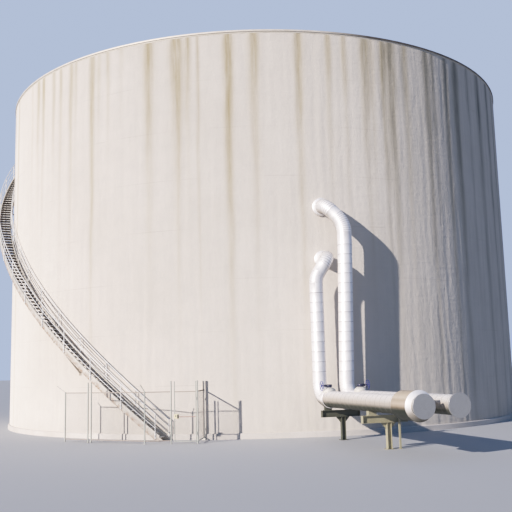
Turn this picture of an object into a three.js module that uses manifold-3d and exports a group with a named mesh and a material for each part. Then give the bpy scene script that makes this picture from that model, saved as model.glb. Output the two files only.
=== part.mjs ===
// Thermal store tank: round concrete tank, winding outer stair, two lagged pipe runs, stair-foot gate.
// Millimetres, +Z up, origin at the centre of the underside of the floor slab.
// Angles are degrees round the tank, 0 at the front (-Y), negative towards -X.
import * as THREE from 'three';
import { mergeVertices } from 'three/addons/utils/BufferGeometryUtils.js';
import Module from 'manifold-3d';

const wasm = await Module();
wasm.setup();

// Driving dimensions
const TANK_RADIUS = 15000;
const WALL_THICKNESS = 300;
const WALL_TOP = 18600;
const WALL_SEGMENTS = 6;
const FLOOR_RADIUS = 15080;
const FLOOR_THICKNESS = 250;
const ROOF_RISE = 2500;
const ROOF_THICKNESS = 150;
const RIM_HEIGHT = 160;
const RIM_OVERHANG = 30;

const STEP_COUNT = 98;
const STEP_ANGLE = 0.905;
const STEP_DEPTH = 238;
const STEP_THICKNESS = 40;
const STEP_RISE = WALL_TOP / STEP_COUNT;
const STAIR_START = -16.38;
const STAIR_SLOPE = STEP_RISE / STEP_ANGLE;
const STAIR_LINE_START = -16.67;
const STAIR_INNER = 150;
const STAIR_OUTER = 816;
const STRINGER_THICKNESS = 20;
const STRINGER_DEPTH = 347;
const FLIGHT_COUNT = 8;
const FLIGHT_STEPS = 12;
const BRACKET_START = -26.9;
const BRACKET_SPACING = 7.6;
const BRACKET_COUNT = 11;
const BRACKET_DROP = 800;
const BRACKET_BAR = 80;

const RAIL_TOP = 1150;
const RAIL_RADIUS = 24;
const RAIL_LOWER_RADIUS = 18;
const RAIL_POST = 45;
const RAIL_POST_START = -16.9;
const INNER_START = -15.65;
const RAIL_POST_SPACING = 6.1;
const LANDING_LENGTH = 7.0;
const LANDING_THICKNESS = 200;
const LANDING_RAIL = 1100;

const PIPE_OFFSET = 1000;
const TALL_PIPE_ANGLE = 13.2;
const TALL_TOP_ANGLE = 13.8;
const TALL_PIPE_RADIUS = 325;
const SHORT_PIPE_ANGLE = 8.9;
const SHORT_PIPE_RADIUS = 297;
const RUN_RADIUS = 335;
const RUN_HEIGHT = 1680;
const RUN_HEADING = 17.1;
const RUN_LENGTH = 8900;
const FOOT_RADIUS = 640;
const FRONT_JOINT = 1030;
const REAR_JOINT = 1380;
const SUPPORT_AT = [820, 5000];
const DRUM_FROM = 7410;
const DRUM_TO = 8670;
const DRUM_RADIUS = 485;
const WHEEL_RADIUS = 200;

const GATE_HEIGHT = 2150;
const POST_HEIGHT = 2570;
const POST_SIZE = 60;
const WALL_POST_SIZE = 75;
const WALL_POST_ANGLE = -9.55;
const GAP = 0.3;

// Colours
const CONCRETE = 0xc9c3b4;
const ROOFING = 0xb5b2a8;
const STEEL_WHITE = 0xd9dad6;
const RAIL_GREY = 0x9a9fa3;
const CLADDING = 0xd5d6da;
const DRUM_TAN = 0xd3c3b4;
const SUPPORT_TAN = 0x99907a;
const WHEEL_BLUE = 0x24306e;
const VALVE_GREY = 0xb9b7b2;
const FENCE_GREY = 0x8f8f88;

const rad = (deg) => (deg * Math.PI) / 180;
const around = (r, deg, z) => new THREE.Vector3(r * Math.sin(rad(deg)), -r * Math.cos(rad(deg)), z);

// Turn a closed three.js geometry into a solid
function solid(source) {
  let geometry = source.clone();
  geometry.deleteAttribute('normal');
  geometry.deleteAttribute('uv');
  geometry = mergeVertices(geometry, 1e-3);
  const index = geometry.index.array;
  const kept = [];
  for (let i = 0; i < index.length; i += 3) {
    const [a, b, c] = [index[i], index[i + 1], index[i + 2]];
    if (a !== b && b !== c && c !== a) kept.push(a, b, c);
  }
  return new wasm.Manifold(new wasm.Mesh({
    numProp: 3,
    vertProperties: new Float32Array(geometry.attributes.position.array),
    triVerts: new Uint32Array(kept),
  }));
}

function join(parts) {
  return parts.reduce((whole, part) => whole.add(part));
}

function toMesh(name, body, color) {
  const data = body.getMesh();
  const geometry = new THREE.BufferGeometry();
  geometry.setAttribute('position', new THREE.BufferAttribute(new Float32Array(data.vertProperties), 3));
  geometry.setIndex(new THREE.BufferAttribute(new Uint32Array(data.triVerts), 1));
  geometry.computeVertexNormals();
  const item = new THREE.Mesh(geometry, new THREE.MeshStandardMaterial({ color, roughness: 0.7 }));
  item.name = name;
  return item;
}

// A block whose corners follow radius, angle and height: walls, stringers, decks
function polarBlock(r0, r1, deg0, deg1, low, high, steps) {
  const geometry = new THREE.BoxGeometry(1, 1, 1, 1, steps, 1);
  const position = geometry.attributes.position;
  for (let i = 0; i < position.count; i += 1) {
    const r = r0 + (position.getX(i) + 0.5) * (r1 - r0);
    const deg = deg0 + (position.getY(i) + 0.5) * (deg1 - deg0);
    const z0 = typeof low === 'function' ? low(deg) : low;
    const z1 = typeof high === 'function' ? high(deg) : high;
    const p = around(r, deg, z0 + (position.getZ(i) + 0.5) * (z1 - z0));
    position.setXYZ(i, p.x, p.y, p.z);
  }
  return solid(geometry);
}

function ring(r0, r1, z0, z1, segments) {
  const shape = new THREE.Shape();
  shape.absarc(0, 0, r1, 0, Math.PI * 2, false);
  if (r0 > 0) {
    const hole = new THREE.Path();
    hole.absarc(0, 0, r0, 0, Math.PI * 2, true);
    shape.holes.push(hole);
  }
  const geometry = new THREE.ExtrudeGeometry(shape, {
    depth: z1 - z0, bevelEnabled: false, curveSegments: segments,
  });
  geometry.translate(0, 0, z0);
  return solid(geometry);
}

// Round riser whose top stands a little to one side of its foot; both end faces stay level
function leaningRod(foot, top, radius, sides) {
  const height = top.z - foot.z;
  const geometry = new THREE.CylinderGeometry(radius, radius, height, sides);
  geometry.rotateX(Math.PI / 2);
  geometry.translate(0, 0, height / 2);
  const lean = new THREE.Matrix4().set(
    1, 0, (top.x - foot.x) / height, foot.x,
    0, 1, (top.y - foot.y) / height, foot.y,
    0, 0, 1, foot.z,
    0, 0, 0, 1,
  );
  geometry.applyMatrix4(lean);
  return solid(geometry);
}

// Basis with the given axis as its third direction
function frameAlong(axis, side = new THREE.Vector3(0, 0, 1)) {
  const w = axis.clone().normalize();
  let ref = side.clone();
  if (Math.abs(ref.dot(w)) > 0.95) ref = new THREE.Vector3(1, 0, 0);
  const u = new THREE.Vector3().crossVectors(ref, w).normalize();
  const v = new THREE.Vector3().crossVectors(w, u).normalize();
  return new THREE.Matrix4().makeBasis(u, v, w);
}

// Square bar from a to b; width is across, height follows the up direction
function bar(a, b, width, height, up = new THREE.Vector3(0, 0, 1)) {
  const axis = new THREE.Vector3().subVectors(b, a);
  const geometry = new THREE.BoxGeometry(width, height, axis.length());
  const middle = new THREE.Vector3().addVectors(a, b).multiplyScalar(0.5);
  geometry.applyMatrix4(frameAlong(axis, up).setPosition(middle));
  return solid(geometry);
}

function rod(a, b, radius, sides = 24) {
  const axis = new THREE.Vector3().subVectors(b, a);
  const geometry = new THREE.CylinderGeometry(radius, radius, axis.length(), sides);
  geometry.rotateX(Math.PI / 2);
  const middle = new THREE.Vector3().addVectors(a, b).multiplyScalar(0.5);
  geometry.applyMatrix4(frameAlong(axis).setPosition(middle));
  return solid(geometry);
}

// Turned shape: profile points [radius, along], closed, set on an axis
function turned(profile, base, axis, segments = 32) {
  const points = profile.map(([r, h]) => new THREE.Vector2(r, h));
  points.push(points[0].clone());
  const geometry = new THREE.LatheGeometry(points, segments);
  geometry.rotateX(Math.PI / 2);
  geometry.applyMatrix4(frameAlong(axis).setPosition(base));
  return solid(geometry);
}

// Route of straight legs with rounded corners
class Route extends THREE.Curve {
  constructor(points, radii) {
    super();
    this.legs = [];
    let from = points[0];
    for (let i = 1; i < points.length; i += 1) {
      const corner = points[i];
      if (i === points.length - 1) {
        this.legs.push({ a: from, b: corner, length: from.distanceTo(corner) });
        break;
      }
      const inward = new THREE.Vector3().subVectors(corner, points[i - 1]).normalize();
      const onward = new THREE.Vector3().subVectors(points[i + 1], corner).normalize();
      const turn = Math.acos(inward.dot(onward));
      const cut = radii[i - 1] * Math.tan(turn / 2);
      const start = corner.clone().addScaledVector(inward, -cut);
      const end = corner.clone().addScaledVector(onward, cut);
      this.legs.push({ a: from, b: start, length: from.distanceTo(start) });
      const normal = onward.clone().addScaledVector(inward, -onward.dot(inward)).normalize();
      const centre = start.clone().addScaledVector(normal, radii[i - 1]);
      this.legs.push({
        centre, inward, normal, radius: radii[i - 1], turn, length: radii[i - 1] * turn,
      });
      from = end;
    }
    this.total = this.legs.reduce((sum, leg) => sum + leg.length, 0);
  }

  getPoint(t) {
    let left = t * this.total;
    for (const leg of this.legs) {
      if (left <= leg.length || leg === this.legs[this.legs.length - 1]) {
        if (leg.a) return leg.a.clone().lerp(leg.b, left / leg.length);
        const angle = left / leg.radius;
        return leg.centre.clone()
          .addScaledVector(leg.normal, -leg.radius * Math.cos(angle))
          .addScaledVector(leg.inward, leg.radius * Math.sin(angle));
      }
      left -= leg.length;
    }
    return this.legs[0].a.clone();
  }
}

function swept(route, radius, steps, sides = 24) {
  const shape = new THREE.Shape();
  shape.absarc(0, 0, radius, 0, Math.PI * 2, false);
  const geometry = new THREE.ExtrudeGeometry(shape, {
    steps, bevelEnabled: false, curveSegments: sides / 2, extrudePath: route,
  });
  return solid(geometry);
}

class Helix extends THREE.Curve {
  constructor(r, deg0, deg1, height) {
    super();
    Object.assign(this, { r, deg0, deg1, height });
  }

  getPoint(t) {
    const deg = this.deg0 + (this.deg1 - this.deg0) * t;
    return around(this.r, deg, this.height(deg));
  }
}

// Where a flat pad of a given half width meets the faceted wall, measured from the axis
const FACET = 3;
function wallSeat(deg, halfWidth) {
  let seat = 0;
  for (let i = -20; i <= 20; i += 1) {
    const here = deg + (halfWidth * i) / 20 / TANK_RADIUS / rad(1);
    const middle = (Math.floor(here / FACET) + 0.5) * FACET;
    const face = (TANK_RADIUS * Math.cos(rad(FACET / 2))) / Math.cos(rad(here - middle));
    seat = Math.max(seat, face * Math.cos(rad(here - deg)));
  }
  return seat + GAP;
}

const tank = new THREE.Group();
tank.name = 'thermal_store_tank';
const put = (name, body, color) => tank.add(toMesh(name, body, color));

// Floor slab, wall, rim and domed roof
put('floor_slab', ring(0, FLOOR_RADIUS, 0, FLOOR_THICKNESS, 60), CONCRETE);
for (let i = 0; i < WALL_SEGMENTS; i += 1) {
  const span = 360 / WALL_SEGMENTS;
  const centre = -180 + span * (i + 0.5);
  const body = polarBlock(
    TANK_RADIUS - WALL_THICKNESS, TANK_RADIUS,
    centre - span / 2 + 0.001, centre + span / 2,
    FLOOR_THICKNESS + GAP, WALL_TOP - RIM_HEIGHT - GAP, span / 3,
  );
  put(`wall_segment_${i + 1}`, body, CONCRETE);
}
put('roof_rim', ring(
  TANK_RADIUS - WALL_THICKNESS, TANK_RADIUS + RIM_OVERHANG, WALL_TOP - RIM_HEIGHT, WALL_TOP, 60,
), ROOFING);
const domeEdge = TANK_RADIUS - WALL_THICKNESS - GAP;
const domeRadius = (domeEdge * domeEdge + ROOF_RISE * ROOF_RISE) / (2 * ROOF_RISE);
const domeProfile = [];
const DOME_RINGS = 4;
for (let i = 0; i <= DOME_RINGS; i += 1) {
  const r = (domeEdge * i) / DOME_RINGS;
  const z = WALL_TOP + ROOF_RISE - domeRadius + Math.sqrt(domeRadius * domeRadius - r * r);
  domeProfile.push([r, z]);
}
for (let i = DOME_RINGS; i >= 0; i -= 1) {
  domeProfile.push([domeProfile[i][0], domeProfile[i][1] - ROOF_THICKNESS]);
}
put('roof_dome', turned(
  domeProfile.reverse(), new THREE.Vector3(), new THREE.Vector3(0, 0, 1), 60,
), ROOFING);

// Stair: flights of treads between two stringers on wall brackets
const stairLine = (deg) => STAIR_SLOPE * (STAIR_LINE_START - deg);
const treadFront = (k) => STAIR_START - (k - 1) * STEP_ANGLE;
const innerR = TANK_RADIUS + STAIR_INNER;
const outerR = TANK_RADIUS + STAIR_OUTER;
const stringerLow = (deg) => Math.max(0, stairLine(deg));
const stringerHigh = (deg) => stairLine(deg) + STRINGER_DEPTH;
const landingFront = treadFront(STEP_COUNT);
const cutMark = 0.0011;

function bracket(deg) {
  const top = stairLine(deg) + 25;
  const wall = wallSeat(deg, 72);
  const arm = bar(
    around(wall, deg, top - BRACKET_BAR / 2), around(outerR, deg, top - BRACKET_BAR / 2),
    BRACKET_BAR, BRACKET_BAR,
  );
  const pad = bar(
    around(wall + 10, deg, top - BRACKET_DROP - 80), around(wall + 10, deg, top),
    140, 20, around(1, deg, 0),
  );
  const brace = bar(
    around(wall + 34, deg, top - BRACKET_DROP + 20), around(outerR - 30, deg, top - BRACKET_BAR / 2),
    60, 60,
  );
  return join([arm, pad, brace]);
}

for (let f = 0; f < FLIGHT_COUNT; f += 1) {
  const firstTread = 1 + f * FLIGHT_STEPS;
  const lastTread = f === FLIGHT_COUNT - 1 ? STEP_COUNT - 1 : firstTread + FLIGHT_STEPS - 1;
  const from = (f === 0 ? treadFront(1) + 0.12 : treadFront(firstTread)) - cutMark;
  const to = treadFront(lastTread + 1);
  const spans = Math.ceil((from - to) / 1.4);
  const innerFrom = f === 0 ? INNER_START : from;
  const parts = [
    polarBlock(innerR, innerR + STRINGER_THICKNESS, to, innerFrom, stringerLow, stringerHigh, spans),
    polarBlock(outerR - STRINGER_THICKNESS, outerR, to, from, stringerLow, stringerHigh, spans),
  ];
  for (let k = firstTread; k <= lastTread; k += 1) {
    const front = treadFront(k) - cutMark;
    const depth = STEP_DEPTH / rad(1) / ((innerR + outerR) / 2);
    parts.push(polarBlock(
      innerR + 10, outerR - 10, front - depth, front,
      k * STEP_RISE - STEP_THICKNESS, k * STEP_RISE, 1,
    ));
  }
  for (let j = 0; j < BRACKET_COUNT; j += 1) {
    const deg = BRACKET_START - BRACKET_SPACING * j;
    if (deg < from - 0.4 && deg > to + 0.4) parts.push(bracket(deg));
  }
  put(`stair_flight_${f + 1}`, join(parts), STEEL_WHITE);
}

// Stair railings, outside and inside
function railing(name, postR0, postR1, from, to, firstPost) {
  const parts = [];
  const railR = (postR0 + postR1) / 2;
  const spans = Math.ceil((from - to) / 4.4);
  const heights = [
    [RAIL_TOP, RAIL_RADIUS], [RAIL_TOP * 0.73, RAIL_LOWER_RADIUS], [RAIL_TOP * 0.47, RAIL_LOWER_RADIUS],
  ];
  for (const [height, radius] of heights) {
    const path = new Helix(railR, from, to, (deg) => stairLine(deg) + height - radius);
    parts.push(swept(path, radius, spans, radius === RAIL_RADIUS ? 6 : 4));
  }
  for (let i = 0; i < 15; i += 1) {
    const deg = firstPost - RAIL_POST_SPACING * i;
    if (deg <= from && deg > to + 0.1) {
      const half = (RAIL_POST / 2 / railR / Math.PI) * 180;
      const low = Math.max(stairLine(deg) + 60, 20);
      parts.push(polarBlock(postR0, postR1, deg - half, deg + half, low, stairLine(deg) + RAIL_TOP - 20, 1));
    }
  }
  put(name, join(parts), RAIL_GREY);
}
for (let i = 0; i < 4; i += 1) {
  const from = treadFront(1 + 24 * i) - cutMark;
  const to = i === 3 ? landingFront : treadFront(1 + 24 * (i + 1));
  const outerFrom = i === 0 ? RAIL_POST_START + 0.1 : from;
  const innerFrom = i === 0 ? INNER_START + 0.1 : from;
  railing(`outer_railing_${i + 1}`, outerR + GAP, outerR + GAP + RAIL_POST, outerFrom, to, RAIL_POST_START);
  railing(`inner_railing_${i + 1}`, innerR - 1.4 - RAIL_POST, innerR - 1.4, innerFrom, to, INNER_START);
}

// Top landing with its guard rail
{
  const from = landingFront - cutMark;
  const to = landingFront - LANDING_LENGTH;
  const deckTop = WALL_TOP;
  const parts = [
    polarBlock(TANK_RADIUS + 50, outerR, to, from, deckTop - LANDING_THICKNESS, deckTop, 4),
  ];
  for (const deg of [from - 1.4, to + 0.8]) {
    const top = deckTop - LANDING_THICKNESS + 20;
    const wall = wallSeat(deg, 72);
    parts.push(bar(
      around(wall, deg, top - BRACKET_BAR / 2), around(outerR, deg, top - BRACKET_BAR / 2),
      BRACKET_BAR, BRACKET_BAR,
    ));
    parts.push(bar(
      around(wall + 10, deg, top - BRACKET_DROP - 80), around(wall + 10, deg, top),
      140, 20, around(1, deg, 0),
    ));
    parts.push(bar(
      around(wall + 34, deg, top - BRACKET_DROP + 20), around(outerR - 30, deg, top - BRACKET_BAR / 2),
      60, 60,
    ));
  }
  const edge = outerR - RAIL_POST / 2;
  for (const [height, radius] of [[LANDING_RAIL, RAIL_RADIUS], [735, RAIL_LOWER_RADIUS], [370, RAIL_LOWER_RADIUS]]) {
    parts.push(swept(new Helix(edge, from, to + 0.1, () => deckTop + height - radius), radius, 2, 6));
    parts.push(rod(
      around(edge, to + 0.1, deckTop + height - radius),
      around(TANK_RADIUS + 100, to + 0.1, deckTop + height - radius), radius, 6,
    ));
  }
  for (const deg of [from - 0.1, (from + to) / 2, to + 0.1]) {
    parts.push(bar(around(edge, deg, deckTop - 20), around(edge, deg, deckTop + LANDING_RAIL - 10), 45, 45));
  }
  parts.push(bar(
    around(TANK_RADIUS + 100, to + 0.1, deckTop - 20),
    around(TANK_RADIUS + 100, to + 0.1, deckTop + LANDING_RAIL - 10), 45, 45,
  ));
  put('top_landing', join(parts), STEEL_WHITE);
}

// Pipes from the wall down to the two runs
const up = new THREE.Vector3(0, 0, 1);
const heading = new THREE.Vector3(Math.sin(rad(RUN_HEADING)), -Math.cos(rad(RUN_HEADING)), 0);
const across = new THREE.Vector3(Math.cos(rad(RUN_HEADING)), Math.sin(rad(RUN_HEADING)), 0);
const pipeR = TANK_RADIUS + PIPE_OFFSET;
const tallFoot = around(pipeR, TALL_PIPE_ANGLE, 0);
const tallTop = around(pipeR, TALL_TOP_ANGLE, 0);
const shortFoot = around(pipeR, SHORT_PIPE_ANGLE, 0);
const at = (p, z) => new THREE.Vector3(p.x, p.y, z);
const tallJoint = 8400;
const shortJoint = 5950;
const footJoint = RUN_HEIGHT + FOOT_RADIUS + 40;

function nozzle(name, deg, z, turnR, riserTop, lowZ, jointZ, radius, bends) {
  const start = around(wallSeat(deg, radius + 112), deg, z);
  const outward = around(1, deg, 0);
  const route = new Route([
    start, around(turnR, deg, z), at(riserTop, lowZ), at(riserTop, jointZ + GAP),
  ], bends);
  const collar = turned(
    [[0, 0], [radius + 110, 0], [radius + 110, 60], [radius + 60, 110], [0, 110]],
    start, outward, 24,
  );
  put(name, swept(route, radius, 15, 18).add(collar), CLADDING);
}
nozzle('upper_wall_pipe', 11.18, 10145, 15550, tallTop, 9250, tallJoint, TALL_PIPE_RADIUS, [600, 1100]);
nozzle('lower_wall_pipe', 11.12, 7760, pipeR, shortFoot, 6830, shortJoint, SHORT_PIPE_RADIUS, [450, 800]);
put('tall_riser', leaningRod(at(tallFoot, footJoint), at(tallTop, tallJoint), TALL_PIPE_RADIUS, 32), CLADDING);
put('short_riser', rod(at(shortFoot, footJoint), at(shortFoot, shortJoint), SHORT_PIPE_RADIUS, 32), CLADDING);

function footBend(name, foot, radius, joint) {
  const route = new Route([
    at(foot, footJoint - GAP), at(foot, RUN_HEIGHT),
    at(foot, RUN_HEIGHT).addScaledVector(heading, joint - GAP),
  ], [FOOT_RADIUS]);
  put(name, swept(route, radius, 10, 24), CLADDING);
}
footBend('tall_foot_bend', tallFoot, TALL_PIPE_RADIUS, REAR_JOINT);
footBend('short_foot_bend', shortFoot, SHORT_PIPE_RADIUS, FRONT_JOINT);

// Level runs, each with a flange at its end
function run(foot, joint) {
  const start = at(foot, RUN_HEIGHT).addScaledVector(heading, joint);
  const length = RUN_LENGTH - joint;
  const profile = [
    [0, 0], [RUN_RADIUS, 0],
    [RUN_RADIUS, length - 60], [RUN_RADIUS + 65, length - 60], [RUN_RADIUS + 65, length], [0, length],
  ];
  return turned(profile, start, heading, 32);
}
put('front_run', run(shortFoot, FRONT_JOINT), CLADDING);
put('rear_run', run(tallFoot, REAR_JOINT), CLADDING);

// Drum cover round the front run
{
  const start = at(shortFoot, RUN_HEIGHT).addScaledVector(heading, DRUM_FROM);
  const length = DRUM_TO - DRUM_FROM;
  const inner = RUN_RADIUS + GAP;
  const profile = [
    [inner, 0], [inner + 60, 0], [DRUM_RADIUS, 120], [DRUM_RADIUS, length - 60],
    [DRUM_RADIUS + 20, length - 60], [DRUM_RADIUS + 20, length], [inner, length],
  ];
  put('drum_cover', turned(profile, start, heading, 32), DRUM_TAN);
}

// Valves at the joints: sleeve, domed body, gearbox and a hand wheel that turns
const SLEEVE_RADIUS = 378;
const SLEEVE_HALF = 100;
const STEM_END = 300;
const BEND_CLEARANCE = 2.2;
function valve(name, foot, radius, joint, side, wheelName) {
  const base = at(foot, RUN_HEIGHT).addScaledVector(heading, joint);
  const seat = RUN_RADIUS + GAP;
  const bendSeat = radius + BEND_CLEARANCE;
  const top = base.clone().addScaledVector(up, seat);
  const sleeve = turned([
    [bendSeat, -SLEEVE_HALF], [SLEEVE_RADIUS, -SLEEVE_HALF], [SLEEVE_RADIUS, SLEEVE_HALF],
    [seat, SLEEVE_HALF], [seat, -GAP], [bendSeat, -GAP],
  ], base, heading, 32);
  const dome = turned([
    [0, -220], [270, -220], [270, 15], [250, 50], [200, 95], [140, 130], [120, 140], [0, 140],
  ], top, up, 28);
  const before = rod(
    base.clone().addScaledVector(heading, -400), base.clone().addScaledVector(heading, 100), bendSeat, 32,
  );
  const after = rod(
    base.clone().addScaledVector(heading, -GAP), base.clone().addScaledVector(heading, 400), seat, 32,
  );
  const centre = top.clone().addScaledVector(up, 210);
  const onSide = (s) => centre.clone().addScaledVector(across, side * s);
  const gearbox = rod(top.clone().addScaledVector(up, 136), top.clone().addScaledVector(up, 265), 130, 24);
  const body = join([
    dome.subtract(before).subtract(after), sleeve, gearbox,
    bar(onSide(60), onSide(200), 90, 90), rod(onSide(190), onSide(STEM_END), 22, 12),
  ]);
  put(name, body, VALVE_GREY);
  const hub = onSide(STEM_END + 0.5);
  const axis = across.clone().multiplyScalar(side);
  const rimShape = turned([
    [WHEEL_RADIUS - 24, 10], [WHEEL_RADIUS, 10], [WHEEL_RADIUS, 34], [WHEEL_RADIUS - 24, 34],
  ], hub, axis, 20);
  const hubShape = turned([[0, 0], [34, 0], [34, 44], [0, 44]], hub, axis, 12);
  const spokes = [];
  const frame = frameAlong(axis);
  for (let i = 0; i < 4; i += 1) {
    const angle = rad(45 + 90 * i);
    const tip = new THREE.Vector3(Math.cos(angle), Math.sin(angle), 0)
      .multiplyScalar(WHEEL_RADIUS - 12).applyMatrix4(frame)
      .add(hub)
      .addScaledVector(axis, 22);
    spokes.push(bar(hub.clone().addScaledVector(axis, 22), tip, 22, 14, axis));
  }
  put(wheelName, join([rimShape, hubShape, ...spokes]), WHEEL_BLUE);
}
valve('front_valve', shortFoot, SHORT_PIPE_RADIUS, FRONT_JOINT, -1, 'front_handwheel');
valve('rear_valve', tallFoot, TALL_PIPE_RADIUS, REAR_JOINT, 1, 'rear_handwheel');

// Steel supports: one post and a cross beam under both pipes
const runGap = new THREE.Vector3().subVectors(tallFoot, shortFoot).dot(across);
const BEAM_TOP = RUN_HEIGHT - RUN_RADIUS - 130;
const BEAM_DEPTH = 270;
const BEAM_WIDTH = 200;
const BEAM_RIGHT = 1400;
const POST_AT = 650;
const POST_HALF = 80;
function support(name, alongRun, left, radii, clearance, shoeLength, thinPost) {
  const base = at(shortFoot, 0).addScaledVector(heading, alongRun);
  const spot = (s, z, t = 0) => base.clone().addScaledVector(across, s).addScaledVector(heading, t).setZ(z);
  const low = BEAM_TOP - BEAM_DEPTH;
  const parts = [
    bar(spot(left, BEAM_TOP - 7), spot(BEAM_RIGHT, BEAM_TOP - 7), BEAM_WIDTH, 14),
    bar(spot(left, low + 7), spot(BEAM_RIGHT, low + 7), BEAM_WIDTH, 14),
    bar(spot(left, BEAM_TOP - BEAM_DEPTH / 2), spot(BEAM_RIGHT, BEAM_TOP - BEAM_DEPTH / 2), 12, BEAM_DEPTH - 4),
    bar(spot(POST_AT, 0), spot(POST_AT, low + 5), 12, 2 * POST_HALF, across),
  ];
  for (const side of [-1, 1]) {
    const flange = POST_AT + side * POST_HALF;
    parts.push(bar(spot(flange, 0), spot(flange, low + 5), 170, 14, across));
    const shape = new THREE.Shape();
    shape.moveTo(0, 0);
    shape.lineTo(side * 230, 0);
    shape.lineTo(0, -260);
    const geometry = new THREE.ExtrudeGeometry(shape, { depth: 14, bevelEnabled: false });
    geometry.translate(0, 0, -7);
    const basis = new THREE.Matrix4().makeBasis(across, up, heading);
    basis.setPosition(spot(flange, low + 4));
    geometry.applyMatrix4(basis);
    parts.push(solid(geometry));
  }
  for (const [i, s] of [0, runGap].entries()) {
    const shoeTop = RUN_HEIGHT - radii[i] + 55;
    const shoe = bar(spot(s, BEAM_TOP - 5), spot(s, shoeTop), shoeLength, 300, across);
    const pipe = rod(spot(s, RUN_HEIGHT, -400), spot(s, RUN_HEIGHT, 400), radii[i] + clearance, 32);
    parts.push(shoe.subtract(pipe));
  }
  if (thinPost) {
    parts.push(bar(spot(1030, 0, 125), spot(1030, BEAM_TOP, 125), 62, 62, across));
  }
  put(name, join(parts), SUPPORT_TAN);
}
support('run_support_1', SUPPORT_AT[0], -280, [SHORT_PIPE_RADIUS, TALL_PIPE_RADIUS], BEND_CLEARANCE, 140, false);
support('run_support_2', SUPPORT_AT[1], -390, [RUN_RADIUS, RUN_RADIUS], GAP, 200, true);

// Fence and gate at the foot of the stair
const post1 = around(16700, -31.4, 0);
const post2 = around(16700, -26.9, 0);
const post2b = around(16700, -26.3, 0);
const postB = new THREE.Vector3(-4875, -16370, 0);
const gateLeft = new THREE.Vector3(-3765, -16430, 0);
const gateRight = new THREE.Vector3(-2655, -16565, 0);
const wallEnd = around(FLOOR_RADIUS + 44, WALL_POST_ANGLE, 0);
const hingeAt = [39, 50];
const hingeHeights = [380, 1780];

const panelRails = [GATE_HEIGHT, 160];
const bayEdge = POST_SIZE / 2 - 5;
const clearOfPost = POST_SIZE / 2 + GAP;

function fencePost(p, height, direction) {
  return bar(at(p, 0), at(p, height), POST_SIZE, POST_SIZE, direction);
}

function fencePanel(name, a, b, options) {
  const direction = new THREE.Vector3().subVectors(b, a).normalize();
  const parts = [];
  if (options.postA) parts.push(fencePost(a, options.postA, direction));
  if (options.postB) parts.push(fencePost(b, options.postB, direction));
  const from = a.clone().addScaledVector(direction, options.insetA);
  const to = b.clone().addScaledVector(direction, -options.insetB);
  for (const z of options.rails) {
    parts.push(bar(at(from, z - 20), at(to, z - 20), 40, 40));
  }
  if (options.link) {
    const gap = a.distanceTo(options.link);
    const near = a.clone().addScaledVector(direction, -bayEdge);
    const far = a.clone().addScaledVector(direction, -(gap - POST_SIZE / 2 - GAP - 1));
    for (const z of [GATE_HEIGHT, 300]) parts.push(bar(at(near, z - 20), at(far, z - 20), 30, 30));
  }
  if (options.arm) {
    const tip = at(options.arm, POST_HEIGHT - 130);
    const heel = at(a, GATE_HEIGHT + 5);
    parts.push(bar(heel, tip, 45, 45));
  }
  put(name, join(parts), options.color);
}

fencePanel('fence_panel_1', post1, post2, {
  postA: GATE_HEIGHT + 20, postB: POST_HEIGHT, insetA: bayEdge, insetB: bayEdge,
  rails: panelRails, color: FENCE_GREY, arm: around(16980, -32.2, 0),
});
fencePanel('fence_panel_2', post2b, postB, {
  postA: POST_HEIGHT, insetA: bayEdge, insetB: clearOfPost + 9.8, link: post2,
  rails: panelRails, color: FENCE_GREY,
});
fencePanel('fence_panel_3', postB, gateLeft, {
  postA: GATE_HEIGHT + 20, postB: POST_HEIGHT, insetA: bayEdge, insetB: bayEdge,
  rails: panelRails, color: FENCE_GREY, arm: new THREE.Vector3(-5015, -16575, 0),
});

// Gate leaf with its lock, hung on the right post
const leafLine = new THREE.Vector3().subVectors(gateLeft, gateRight).normalize();
const outward = new THREE.Vector3(-leafLine.y, leafLine.x, 0);
const hingePoint = () => gateRight.clone()
  .addScaledVector(leafLine, hingeAt[0]).addScaledVector(outward, hingeAt[1]);
{
  const direction = leafLine;
  const width = gateRight.distanceTo(gateLeft);
  const near = gateRight.clone().addScaledVector(direction, POST_SIZE / 2 + 18);
  const far = gateRight.clone().addScaledVector(direction, width - 124);
  const parts = [];
  const uprightA = near.clone().addScaledVector(direction, 20);
  const uprightB = far.clone().addScaledVector(direction, -20);
  for (const z of [GATE_HEIGHT - 25, 1100, 105]) parts.push(bar(at(uprightA, z), at(uprightB, z), 36, 36));
  for (const p of [uprightA, uprightB]) parts.push(bar(at(p, 80), at(p, POST_HEIGHT - 20), 40, 40, direction));
  const lock = uprightB.clone().addScaledVector(direction, -80);
  parts.push(bar(at(lock, 1020), at(lock, 1210), 60, 200, direction));
  for (const z of hingeHeights) {
    const axis = hingePoint();
    parts.push(rod(at(axis, z + 60.5), at(axis, z + 120), 12, 12));
    const inner = gateRight.clone().addScaledVector(direction, 58).addScaledVector(outward, 10);
    parts.push(bar(at(axis, z + 90), at(inner, z + 90), 22, 30));
  }
  put('gate_leaf', join(parts), FENCE_GREY);
}

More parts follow.
